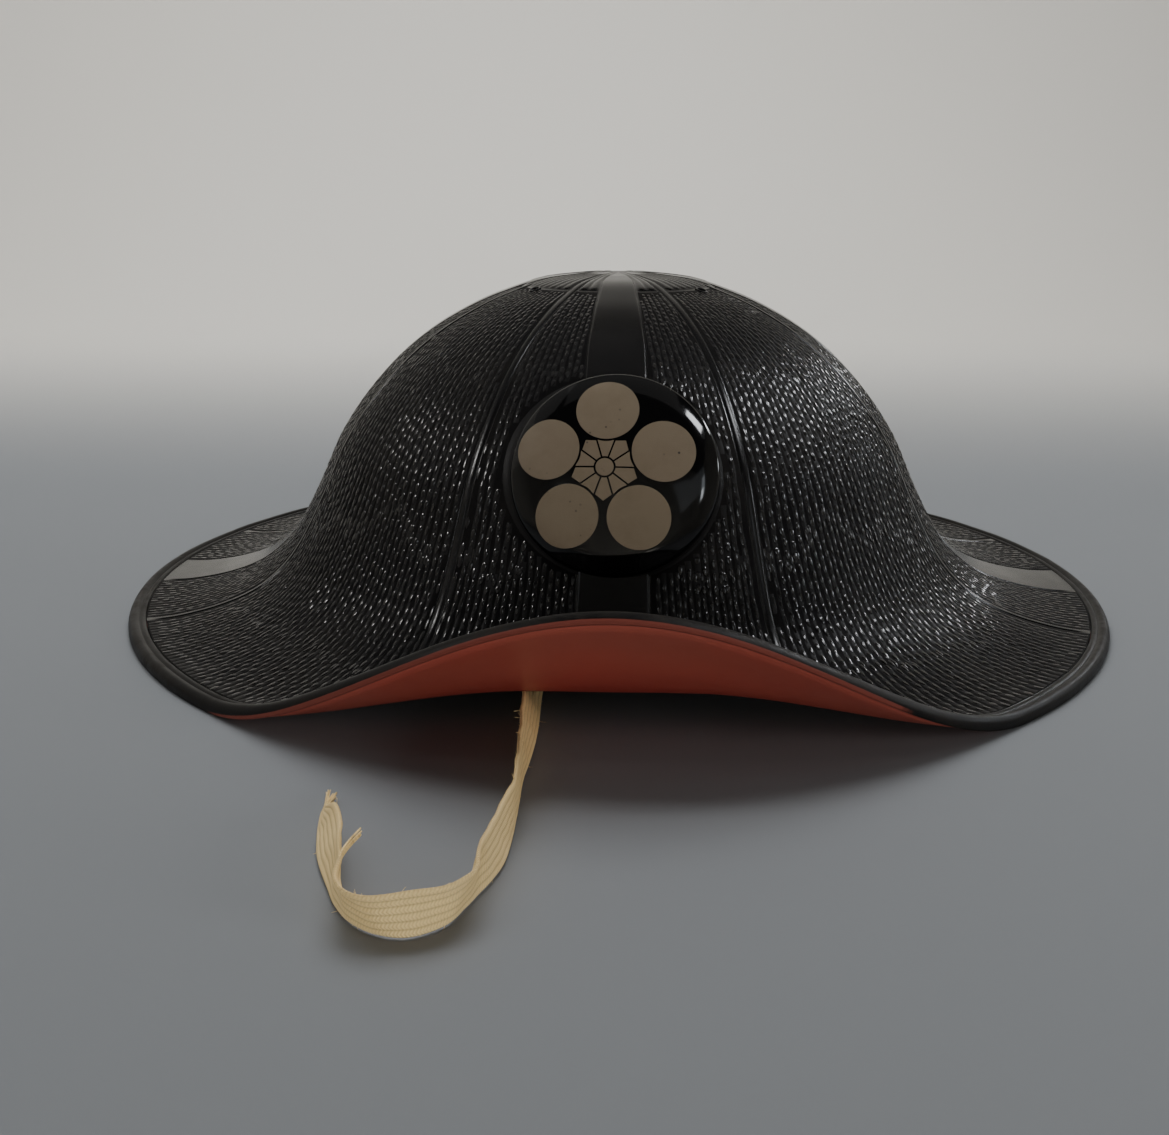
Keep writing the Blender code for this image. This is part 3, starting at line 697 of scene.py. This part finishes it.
def grainSpots():
    # radius, angle, row pitch, spacing and the row's own tilt for every grain
    spots = []
    firstZone, lastZone = grain["zones"][0][0], grain["zones"][-1][1]
    for z, (first, last, rows) in enumerate(grain["zones"]):
        reach = np.linspace(max(first - 6, firstZone), min(last + 6, lastZone), 160)
        for k in range(rows):
            angle = rowLine(rows, k, reach)
            way = np.linalg.norm(np.diff(hatPoint(reach, angle), axis=0), axis=1)
            steps = np.concatenate([[0], np.cumsum(way / np.interp(reach[1:], *zip(*grain["spacing"])))])
            at = np.arange(0.5 * (k % 2) + scatter.normal(0, 0.13), steps[-1], 1.0)
            at = np.clip(at + np.cumsum(scatter.normal(0, 0.05, len(at))), 0, steps[-1])
            r = np.interp(at, steps, reach)
            a = np.interp(at, steps, angle) + scatter.normal(0, 0.1, len(r)) / r
            seam = 0.3 * np.interp(r, *zip(*grain["spacing"]))       # the zones mesh a little
            inside = r > (zoneEdge(first, a) - seam if z else first)
            inside &= r < (zoneEdge(last, a) + seam if last < lastZone else last)
            r, a = r[inside], a[inside]
            tilt = np.full(len(r), scatter.normal(0, grain["tilt"]))
            spots.append(np.stack([r, a, r * 2 * math.pi / rows, np.interp(r, *zip(*grain["spacing"])), tilt]))
    return np.hstack(spots)


def makeGrain(material):
    radius, angle, pitch, gap, lean = grainSpots()
    width = grain["width"] * pitch * scatter.uniform(0.86, 1.12, len(radius))
    toBand, toRib = roomAt(radius, angle)
    toBandLeast, toRibLeast, toBossLeast = grain["clear"]
    keep = (toBand > toBandLeast + width / 2) & (toRib > toRibLeast + width / 2) & offBoss(radius, angle, toBossLeast)
    radius, angle, pitch, gap, lean, width, toRib = (
        x[keep] for x in (radius, angle, pitch, gap, lean, width, toRib))
    beside = smoothRows(radius, angle, toRib)
    point, down, normal = hatFrame(radius, angle)
    side = np.cross(normal, down)
    half = gap * grain["length"] / 2 * scatter.uniform(0.86, 1.1, len(radius)) * np.where(beside, 1.35, 1)
    rise = grain["rise"] * width * scatter.uniform(0.85, 1.15, len(radius)) * np.where(beside, 0.75, 1)
    rise *= (1 - 0.3 * fade(radius, 170, 181)) * (1 - 0.35 * lobeShare(radius, angle))
    ground = ridge["rise"] * pitch * 0.6
    leanSide = lean + scatter.normal(0, grain["tilt"] * 0.6, len(radius))
    leanDown = scatter.normal(0, grain["tilt"] * 0.5, len(radius))
    # outline: blunt at the upper end, a longer tail down the row
    turn = circle(grain["sides"])
    forward = np.where(np.cos(turn) > 0, np.cos(turn) * 1.12, np.cos(turn) * 0.88)
    sideways = np.sin(turn) * np.where(np.cos(turn) > 0.1, 0.8, 1.0)

    def ring(reach, scale, lift, shift=0.0):
        x = half[:, None] * (forward * reach + shift)
        y = width[:, None] / 2 * sideways * scale
        up = (ground + lift)[:, None] + leanSide[:, None] * y + leanDown[:, None] * x
        lengthwise = point[:, None] + down[:, None] * x[..., None]
        return lengthwise + side[:, None] * y[..., None] + normal[:, None] * up[..., None]

    base = ring(1.0, 1.0, np.full(len(radius), -0.06) - ground)
    shoulder = ring(0.92, 0.88, rise * 0.5)
    topEdge = ring(0.76, 0.66, rise * 0.72, -0.02)
    tip = point - down * (half * 0.1)[:, None] + normal * (ground + rise)[:, None]
    n = grain["sides"]
    block = np.concatenate([base, shoulder, topEdge, tip[:, None]], axis=1)
    one, fan = gridFaces(3, n, closeColumns=True), fanFaces(2 * n, n, 3 * n)
    sector = (np.degrees(angle) % 360 // 90).astype(int)
    for q in range(4):
        chosen = block[sector == q]
        shift = (np.arange(len(chosen)) * (3 * n + 1))[:, None, None]
        faces = (np.array(one)[None] + shift).reshape(-1, 4).tolist()
        faces += (np.array(fan)[None] + shift).reshape(-1, 3).tolist()
        made = newPiece(f"crown_grain_{q + 1}", chosen.reshape(-1, 3), faces, material, align=False)
        made.data.set_sharp_from_angle(angle=math.radians(30))
    return len(radius)


def makeRidges(material):
    # a low smooth ridge under every row of grain; it stands higher beside the ribs and on the side lobes
    firstZone, lastZone = grain["zones"][0][0], grain["zones"][-1][1]
    toBandLeast, toRibLeast, toBossLeast = ridge["clear"]
    wing = ridge["shape"][-1][0]
    for q in range(4):
        points, faces, start = [], [], 0
        for z, (first, last, rows) in enumerate(grain["zones"]):
            reach = np.linspace(max(first - 5, firstZone), min(last + 5, lastZone + 0.8), 120)
            for k in range(q * rows // 4, (q + 1) * rows // 4):
                way = wayAlong(hatPoint(reach, rowLine(rows, k, reach)))
                stations = np.interp(np.linspace(0, way[-1], int(way[-1] / ridge["step"])), way, reach)
                angle = rowLine(rows, k, stations)
                toBand, toRib = roomAt(stations, angle)
                pitch = stations * 2 * math.pi / rows
                free = (toBand > toBandLeast + pitch * wing) & (toRib > toRibLeast + pitch * wing)
                free &= offBoss(stations, angle, toBossLeast)
                free &= stations > (zoneEdge(first, angle) - ridge["seam"] if z else first)
                free &= stations < (zoneEdge(last, angle) + ridge["seam"] if last < lastZone else hat["edge"])
                strong = np.maximum(0.35 * lobeShare(stations, angle), 0.7 * smoothRows(stations, angle, toRib))
                for run in np.split(np.arange(len(stations)), np.where(np.diff(free.astype(int)) != 0)[0] + 1):
                    if not free[run[0]] or len(run) < 3:
                        continue
                    r, n = stations[run], len(run)
                    point, down, normal = hatFrame(r, angle[run])
                    side = np.cross(normal, down)
                    uneven = 0.8 + 0.4 * np.sin(r * 0.9 + k * 2.1) ** 2
                    rise = ridge["rise"] * pitch[run] * (1 + 1.5 * strong[run]) * uneven
                    rise[[0, -1]] *= 0.35
                    for offset, lift in ridge["shape"]:
                        aside = side * (offset * pitch[run])[:, None]
                        points.append(point + aside + normal * (rise * lift)[:, None])
                    faces += gridFaces(len(ridge["shape"]), n, start=start)
                    start += len(ridge["shape"]) * n
        newPiece(f"crown_row_ridges_{q + 1}", np.vstack(points), faces, material, align=False)


crown = makeCrown(blackLacquer, groundLacquer)
print("crown: shell", len(crown.data.polygons), "faces")
grainCount = makeGrain(grainLacquer)
makeRidges(ridgeLacquer)
print("crown:", grainCount, "grains")


# red lacquer underneath, paler towards the rim where it has faded
redFinish = {
    "colours": ((0.30, 0.042, 0.031), (0.34, 0.064, 0.046)), "patches": (0.5, 18.0),
    "roughness": (0.42, 0.14), "fine": (700.0, 0.12), "shader": {"Specular IOR Level": 0.4},
    "faded": (0.27, 0.068, 0.048), "lip": (0.15, 0.04, 0.03),      # towards the rim, over the rim's lower lip
}


def makeRedLacquer():
    material, tree, shader, out = newMaterial("redLacquer", redFinish)
    patches = ramp(tree, noise(tree, objectPlace(tree), 26.0, 6.0), 0.3, 0.7, least=0.55)
    share = calc(tree, "MULTIPLY", markValue(tree, "toRim"), patches)
    tree.links.new(mixColour(tree, share, out["Colour"], (*redFinish["faded"], 1)), shader.inputs["Base Color"])
    return material


def makeUnderside(material):
    rings = np.concatenate([[6, 14, 24, 36], np.arange(48, 100, 6), np.arange(101, 183, 2.6), [183.4]])
    count = 288
    angle = circle(count)
    r, a = np.meshgrid(rings, angle, indexing="ij")
    uneven = 0.1 * np.sin(a * 7 + r * 0.05) * np.sin(r * 0.09) + 0.05 * np.sin(a * 19 - r * 0.13)
    foot = lifted(r, a, -hat["skinFoot"] + 0.12 * fade(r, 20, 60) * uneven)
    top = lifted(r, a, np.full(r.shape, -hat["skinTop"]))
    point, down, normal = hatFrame(hat["edge"], angle)
    outline = ((4.3, hat["skinTop"]), (4.75, 2.85), (4.8, 3.2), (4.5, hat["skinFoot"]))
    lips = [point + down * reach - normal * depth for reach, depth in outline]
    grid = np.concatenate([top, np.array(lips), foot[::-1]])
    points = np.vstack([grid.reshape(-1, 3), lifted(0.0, 0.0, -hat["skinTop"]), lifted(0.0, 0.0, -hat["skinFoot"])])
    toRim = fade(np.hypot(points[:, 0], points[:, 1]), 150, 184)
    under = newPiece("underside_red", points, cappedFaces(len(grid), count), material,
                     marks={"toRim": toRim})
    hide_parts("red_underside")
    return under


underside = makeUnderside(makeRedLacquer())
cutVents((crown, underside))
makeVentRings(blackLacquer)
print("underside and vents done")


# rolled rim: an inner bead, a thin groove, then the broad roll, as distance outward and rise from the brim's edge
rimFinish = {
    "colours": ((0.0045, 0.0042, 0.0042), (0.012, 0.0105, 0.009)), "patches": (0.5, 45.0),
    "roughness": (0.4, 0.16), "fine": (800.0, 0.12), "shader": {"Specular IOR Level": 0.14},
    "worn": (0.019, 0.0155, 0.0125),
}
rimOutline = ((0.25, -2.3), (0.25, 0.0), (0.5, 0.18), (1.0, 0.28), (1.55, 0.25), (1.95, 0.1), (2.2, -0.1), (2.5, -0.1),
              (2.75, 0.16), (3.2, 0.5), (3.9, 0.74), (4.7, 0.7), (5.4, 0.36), (5.95, -0.2), (6.35, -1.0), (6.58, -1.9),
              (6.6, -2.7), (6.42, -3.35), (6.1, -3.6), (5.3, -3.6), (4.98, -3.4), (4.92, -3.0), (4.9, -2.3))
rimRed = (0,) * 16 + (1,) * 7      # the red underneath comes up over the lower lip at the front
rimRedSpan = ((0.5, 0.9), (0.3, 0.62))      # in radians from the front where it goes, on the left and on the right
rimWear = (0, 0, 0.2, 0.8, 0.5, 0.1, 0, 0, 0.2, 0.5, 0.8, 0.7, 0.5, 0.6, 0.9, 0.8, 0.6, 0.7, 0.8, 0.3, 0, 0, 0)


def makeRimLacquer():
    material, tree, shader, out = newMaterial("rimLacquer", rimFinish)
    place = objectPlace(tree)
    fine = noise(tree, place, 190.0, 6.0, 0.7)
    broad = noise(tree, place, 14.0, 2.0)
    both = calc(tree, "ADD", calc(tree, "MULTIPLY", fine, 0.6), calc(tree, "MULTIPLY", broad, 0.4))
    share = calc(tree, "MULTIPLY", ramp(tree, both, 0.47, 0.6), calc(tree, "MULTIPLY", markValue(tree, "wear"), 0.55))
    black = mixColour(tree, share, out["Colour"], (*rimFinish["worn"], 1))
    edge = calc(tree, "ADD", markValue(tree, "red"), calc(tree, "MULTIPLY", calc(tree, "SUBTRACT", fine, 0.5), 0.3))
    red = ramp(tree, edge, 0.42, 0.55)
    tree.links.new(mixColour(tree, red, black, (*redFinish["lip"], 1)), shader.inputs["Base Color"])
    tree.links.new(calc(tree, "ADD", out["Roughness"], calc(tree, "MULTIPLY", share, 0.3)), shader.inputs["Roughness"])
    return material


def makeRim(material):
    count = 600
    angle = circle(count)
    point, down, normal = hatFrame(hat["edge"], angle)
    line = np.array(rimOutline)
    uneven = 0.07 * np.sin(angle * 11 + 0.7) + 0.05 * np.sin(angle * 29 + 2)
    soften = np.array([0] + [1] * 15 + [0.6] + [0] * 6)
    rise = line[:, 1][None] + uneven[:, None] * soften[None]
    away = fromFront(angle)
    onLeft, onRight = (fade(away, *span) for span in rimRedSpan)
    share = 1 - np.where(point[:, 0] > 0, onRight, onLeft)
    ring = point[:, None] + down[:, None] * line[:, 0][None, :, None] + normal[:, None] * rise[..., None]
    rows, n = ring.shape[:2]
    faces = gridFaces(rows, n, closeRows=True, closeColumns=True)
    made = newPiece("rim_roll", ring.reshape(-1, 3), faces, material,
                    marks={"wear": np.tile(rimWear, (rows, 1)), "red": np.outer(share, rimRed)})
    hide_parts("rim_binding")


makeRim(makeRimLacquer())
print("rim done")


# the crest: five discs about a star of ten wedges and a hub, all laid on the boss
crest = {"middle": (-2.7, 0.2), "disc": 10.1, "ring": 19.35, "star": 8.8, "clear": 0.75, "hub": 2.88, "starHole": 3.5,
         "gap": 0.55, "foot": -0.1, "top": 0.14, "chamfer": (0.06, 0.05)}      # inward, downward


def bossFace(reach):     # a shallow dome that falls away more steeply towards its edge
    reach = np.minimum(reach, boss["radius"])
    start, amount, power = boss["shoulder"]
    fall = amount * (np.maximum(reach - start, 0) / (boss["radius"] - start)) ** power
    foot = math.sqrt(boss["dome"] ** 2 - boss["radius"] ** 2)
    return boss["edgeHeight"] + np.sqrt(boss["dome"] ** 2 - reach ** 2) - foot - fall


def bossDepth(x, y, clear=-0.3):
    # how far back along the boss's axis its wall meets the crown
    low, high = np.full(np.shape(x), -26.0), np.full(np.shape(x), 6.0)
    for _ in range(22):
        middle = (low + high) / 2
        p = bossPoint(x, y, middle)
        foot, _, normal = hatFrame(np.hypot(p[..., 0], p[..., 1]), np.arctan2(p[..., 0], -p[..., 1]))
        above = ((p - foot) * normal).sum(-1) > clear
        high, low = np.where(above, middle, high), np.where(above, low, middle)
    return high


bossFinish = {
    "colours": ((0.0012, 0.0011, 0.0013), (0.002, 0.002, 0.002)), "patches": (0.4, 30.0),
    "roughness": (0.08, 0.04), "fine": (120.0, 0.012), "shader": {"Specular IOR Level": 0.5},
}
goldFinish = {
    "colours": ((0.146, 0.115, 0.079), (0.116, 0.089, 0.058)), "patches": (0.5, 90.0),
    "roughness": (0.6, 0.15), "fine": (3200.0, 0.3), "shader": {"Specular IOR Level": 0.3},
    "specks": (0.02, 0.016, 0.013),
}


def makeGold():
    material, tree, shader, out = newMaterial("paleGold", goldFinish)
    place = objectPlace(tree)
    specks = node(tree, "ShaderNodeTexVoronoi", {"Vector": place, "Scale": 330.0}).outputs["Distance"]
    where = ramp(tree, noise(tree, place, 75.0, 3.0), 0.52, 0.6)
    lost = calc(tree, "MULTIPLY", ramp(tree, specks, 0.16, 0.09), where)
    tree.links.new(mixColour(tree, lost, out["Colour"], (*goldFinish["specks"], 1)), shader.inputs["Base Color"])
    return material


def makeBoss(material, filletMaterial):
    count = 160
    turn = circle(count)
    start = math.atan(float(bossFace(32.0) - bossFace(33.0)))
    joint = boss["radius"] - boss["round"] * (1 - math.sin(start))
    faces = [(reach, float(bossFace(reach))) for reach in np.linspace(2.5, joint, 20)]
    drop = faces[-1][1] - boss["round"] * math.cos(start)
    faces += [(boss["radius"] - boss["round"] * (1 - math.sin(t)), drop + boss["round"] * math.cos(t))
              for t in np.linspace(start, math.pi / 2, 9)[1:]]
    rows = [bossPoint(reach * np.cos(turn), reach * np.sin(turn), np.full(count, height)) for reach, height in faces]
    wall = boss["radius"] * np.cos(turn), boss["radius"] * np.sin(turn)
    edge = bossDepth(*wall)
    for share in (0.35, 0.7, 1.0):
        rows.append(bossPoint(*wall, drop + (edge - drop) * share))
    for reach in (27, 20, 13, 6):
        x, y = reach * np.cos(turn), reach * np.sin(turn)
        rows.append(bossPoint(x, y, bossDepth(x, y)))
    tips = [bossPoint(0.0, 0.0, height) for height in (bossFace(0.0), bossDepth(np.array(0.0), np.array(0.0)))]
    points = np.vstack([np.array(rows).reshape(-1, 3), *tips])
    made = newPiece("boss_dome", points, cappedFaces(len(rows), count), material)
    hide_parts("crest_boss")
    wide = filletWidth(turn)
    high = np.minimum(0.55 * (drop - edge), 1.15 * wide)
    rows = []
    for t in np.linspace(math.pi / 2, 0, 9):
        reach = boss["radius"] - 0.05 + wide * (1 - math.cos(t))
        x, y = reach * np.cos(turn), reach * np.sin(turn)
        rows.append(bossPoint(x, y, bossDepth(x, y, 0.06 - 0.2 * (t > 1.5)) + high * (1 - math.sin(t))))
    newPiece("boss_fillet", np.array(rows).reshape(-1, 3), gridFaces(9, count, closeColumns=True), filletMaterial,
             align=False)


def crestPoint(x, y, lift):
    px, py = crest["middle"][0] + np.asarray(x, float), crest["middle"][1] + np.asarray(y, float)
    return bossPoint(px, py, bossFace(np.hypot(px, py)) + lift)


def roundPlate(cx, cy, radius, sides, start):
    turn = circle(sides)
    foot, top = crest["foot"], crest["top"]
    inward, down = crest["chamfer"]
    steps = [(radius, foot), (radius, top - down), (radius - inward, top), (radius - 5 * inward, top)]
    steps += [(radius * share, top) for share in (0.8, 0.55, 0.28)]
    rows = [crestPoint(cx + r * np.cos(turn), cy + r * np.sin(turn), lift) for r, lift in steps]
    tips = [crestPoint(cx, cy, crest[end])[None] for end in ("foot", "top")]
    return np.vstack([np.array(rows).reshape(-1, 3), *tips]), cappedFaces(len(rows), sides, start)


def starReach(turn):
    # a pentagon whose sides give way to the discs
    sector = 2 * np.pi / 5
    off = (turn - np.pi / 2 + sector / 2) % sector - sector / 2
    reach = crest["star"] / np.cos(off)
    aside = crest["ring"] * np.sin(off)
    clear = crest["disc"] + crest["clear"]
    inside = np.abs(aside) < clear
    toDisc = crest["ring"] * np.cos(off) - np.sqrt(np.maximum(clear ** 2 - aside ** 2, 0))
    return np.where(inside, np.minimum(reach, toDisc), reach)


def makeCrest(material):
    points, faces, start = [], [], 0
    for k in range(5):
        turn = math.radians(90 + 72 * k)
        p, f = roundPlate(crest["ring"] * math.cos(turn), crest["ring"] * math.sin(turn), crest["disc"], 72, start)
        points.append(p)
        faces += f
        start += len(p)
    discs = newPiece("crest_discs", np.vstack(points), faces, material)
    discs.data.set_sharp_from_angle(angle=math.radians(25))
    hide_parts(*[f"crest_petal_{k + 1}" for k in range(5)])
    # the star is cut into ten wedges by thin lines of bare black
    points, faces, start = [], [], 0
    across, out = 13, 6
    for k in range(10):
        middle = math.radians(90 + 36 * k)
        wedge = []
        for s in np.linspace(0, 1, out):
            row = []
            for t in np.linspace(-1, 1, across):
                turn = middle + t * math.radians(18)
                reach = crest["starHole"] + (float(starReach(turn)) - crest["starHole"]) * s
                turn -= t * math.asin(crest["gap"] / 2 / reach)
                row.append((reach * math.cos(turn), reach * math.sin(turn)))
            wedge.append(row)
        wedge = np.array(wedge)
        top = crestPoint(wedge[..., 0], wedge[..., 1], crest["top"])
        foot = crestPoint(wedge[..., 0], wedge[..., 1], crest["foot"])
        n = across * out
        points += [top.reshape(-1, 3), foot.reshape(-1, 3)]
        faces += gridFaces(out, across, start=start) + gridFaces(out, across, start=start + n)
        loop = list(range(across)) + [i * across + across - 1 for i in range(1, out)]
        loop += [(out - 1) * across + i for i in range(across - 2, -1, -1)]
        loop += [i * across for i in range(out - 2, 0, -1)]
        faces += [[start + a, start + b, start + n + b, start + n + a] for a, b in zip(loop, loop[1:] + loop[:1])]
        start += 2 * n
    star = newPiece("crest_wedges", np.vstack(points), faces, material)
    star.data.set_sharp_from_angle(angle=math.radians(40))
    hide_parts("crest_star")
    p, f = roundPlate(0, 0, crest["hub"], 40, 0)
    middle = newPiece("crest_middle", p, f, material)
    middle.data.set_sharp_from_angle(angle=math.radians(25))
    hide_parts("crest_hub")


makeBoss(newMaterial("bossLacquer", bossFinish)[0], ridgeLacquer)
makeCrest(makeGold())
print("boss and crest done")


# the plain pad inside the crown that holds the tape keeps its shape
padFinish = {
    "colours": ((0.05, 0.026, 0.016), (0.085, 0.05, 0.03)), "patches": (0.6, 120.0),
    "roughness": (0.6, 0.15), "fine": (1300.0, 0.6),
}
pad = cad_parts["tape_anchor"]
pad.data.materials.clear()
pad.data.materials.append(newMaterial("darkHide", padFinish)[0])


# plain pale floor with a soft sweep behind; windows show in the lacquer, the soft lights only brighten
studio = {
    "floor": (0.195, 0.207, 0.221), "wall": (0.70, 0.685, 0.645), "world": (0.97, 0.98, 1.0), "worldStrength": 0.035,
    "halfWidth": 3.0, "front": -3.2, "back": 1.45, "corner": 0.9, "sweep": 0.55, "height": 3.0,
    "floorReach": (1.3, -1.5, 0.15), "blend": 0.85,      # where the floor's grey starts to give way to the wall's
    "windows": (      # seen only in the gloss: name, place, aimed at, size, watts, colour
        ("windowLeft", (-0.91, -0.32, 0.86), (0, 0, 0.06), (0.1, 0.17), 3.0, (1.0, 0.98, 0.96)),
        ("windowRight", (0.93, 0.27, 0.8), (0, 0, 0.06), (0.2, 0.07), 3.0, (0.93, 0.96, 1.0)),
        ("windowBackRight", (0.92, 0.7, 0.64), (0, 0, 0.0), (0.14, 0.11), 2.0, (0.93, 0.96, 1.0)),
        ("windowLow", (1.08, 0.17, 0.36), (0, 0, 0.06), (0.2, 0.1), 1.1, (0.88, 0.94, 1.0)),
        ("windowHigh", (0.70, -0.17, 1.04), (0, 0, 0.06), (0.2, 0.25), 3.6, (0.95, 0.97, 1.0)),
        ("paleTop", (0.0, 0.1, 1.7), (0, 0, 0), (1.6, 1.2), 1.0, (1.0, 0.98, 0.95)),
        ("lampLeft", (-0.43, -0.85, 0.57), (0, 0, 0.06), (0.07, 0.07), 0.2, (0.9, 0.95, 1.0)),
        ("lampRight", (0.64, -0.70, 0.43), (0, 0, 0.06), (0.06, 0.1), 0.16, (0.9, 0.95, 1.0)),
        ("paleLeft", (-0.93, 0.25, 0.93), (0, 0, 0.06), (1.0, 1.0), 0.6, (1.0, 0.98, 0.95)),
        ("paleRight", (0.95, 0.5, 0.75), (0, 0, 0.06), (0.9, 0.8), 0.17, (0.93, 0.97, 1.0)),
        ("palePanel", (0.73, -0.76, 0.57), (0, -0.1, 0.07), (0.12, 0.2), 0.14, (0.85, 0.93, 1.0)),
        ("paleFront", (0.56, -0.9, 0.66), (0, -0.1, 0.07), (0.55, 0.24), 0.13, (0.85, 0.93, 1.0)),
    ),
    "lamps": (        # light only matt surfaces, in the same order
        ("overhead", (0.0, 0.6, 1.35), (0, 0, 0), (1.0, 0.8), 14, (1.0, 1.0, 1.0)),
        ("lowFront", (0.0, -2.85, 0.2), (0, 0, 0.06), (1.6, 0.24), 30, (1.0, 0.98, 0.95)),
        ("sideFill", (1.5, -0.75, 0.42), (0, -0.2, 0.02), (0.5, 0.4), 6, (1.0, 0.98, 0.95)),
        ("roomFront", (0.0, -1.0, 2.3), (0, -3.3, 0.7), (1.6, 0.6), 3, (1.0, 0.99, 0.97)),
        ("backdrop", (-0.55, 0.2, 1.5), (-0.55, 1.3, 0.1), (1.6, 0.5), 15.5, (1.0, 0.99, 0.97)),
    ),
}


def makeStudio(s):
    material = bpy.data.materials.new("studioFloor")
    material.use_nodes = True
    tree = material.node_tree
    shader = tree.nodes["Principled BSDF"]
    place = node(tree, "ShaderNodeSeparateXYZ", {"Vector": objectPlace(tree)}).outputs
    sideEdge, frontEdge, backEdge = s["floorReach"]
    aside = calc(tree, "SUBTRACT", calc(tree, "ABSOLUTE", place[0]), sideEdge)
    ahead = calc(tree, "SUBTRACT", frontEdge, place[1])
    behind = calc(tree, "SUBTRACT", place[1], backEdge)
    outward = calc(tree, "MAXIMUM", calc(tree, "MAXIMUM", behind, aside), ahead)
    share = ramp(tree, outward, 0.0, s["blend"], interpolation_type="SMOOTHSTEP")
    tree.links.new(mixColour(tree, share, (*s["floor"], 1), (*s["wall"], 1)), shader.inputs["Base Color"])
    shader.inputs["Roughness"].default_value = 0.75
    shader.inputs["Specular IOR Level"].default_value = 0.2
    # a floor that sweeps up into walls all round, with rounded corners
    corner, sweep = s["corner"], s["sweep"]
    wide, back, front = s["halfWidth"] - corner, s["back"] - corner, s["front"] + corner
    middles = ((wide, back), (-wide, back), (-wide, front), (wide, front))
    plan = [(*middle, k * math.pi / 2 + t) for k, middle in enumerate(middles) for t in np.linspace(0, math.pi / 2, 10)]
    plan.reverse()
    line = [(sweep * (1 - math.sin(t)), sweep * (1 - math.cos(t))) for t in np.linspace(0, math.pi / 2, 16)]
    line.append((0.0, s["height"]))
    points = [(x + (corner - inset) * math.cos(t), y + (corner - inset) * math.sin(t), z)
              for inset, z in line for x, y, t in plan]
    mesh = bpy.data.meshes.new("studio")
    mesh.from_pydata(points, [], gridFaces(len(line), len(plan), closeColumns=True) + [list(range(len(plan)))[::-1]])
    mesh.shade_smooth()
    floor = bpy.data.objects.new("studio", mesh)
    bpy.context.scene.collection.objects.link(floor)
    mesh.materials.append(material)
    world = bpy.data.worlds.new("studioLight")
    world.use_nodes = True
    world.node_tree.nodes["Background"].inputs[0].default_value = (*s["world"], 1)
    world.node_tree.nodes["Background"].inputs[1].default_value = s["worldStrength"]
    bpy.context.scene.world = world
    glossy = [window[0] for window in s["windows"]]
    for name, place, aim, size, watts, colour in s["windows"] + s["lamps"]:
        light = bpy.data.lights.new(name, "AREA")
        light.shape, light.size, light.size_y, light.energy, light.color = "RECTANGLE", *size, watts, colour
        lamp = bpy.data.objects.new(name, light)
        lamp.visible_glossy, lamp.visible_diffuse, lamp.visible_camera = name in glossy, name not in glossy, False
        bpy.context.scene.collection.objects.link(lamp)
        back = np.array(place, float) - np.array(aim, float)
        side = unit(np.cross((0, 0, 1), back))
        up = np.cross(unit(back), side)
        lamp.matrix_world = Matrix(np.vstack([np.column_stack([side, up, unit(back), place]), (0, 0, 0, 1)]).tolist())


makeStudio(studio)
print("studio done")
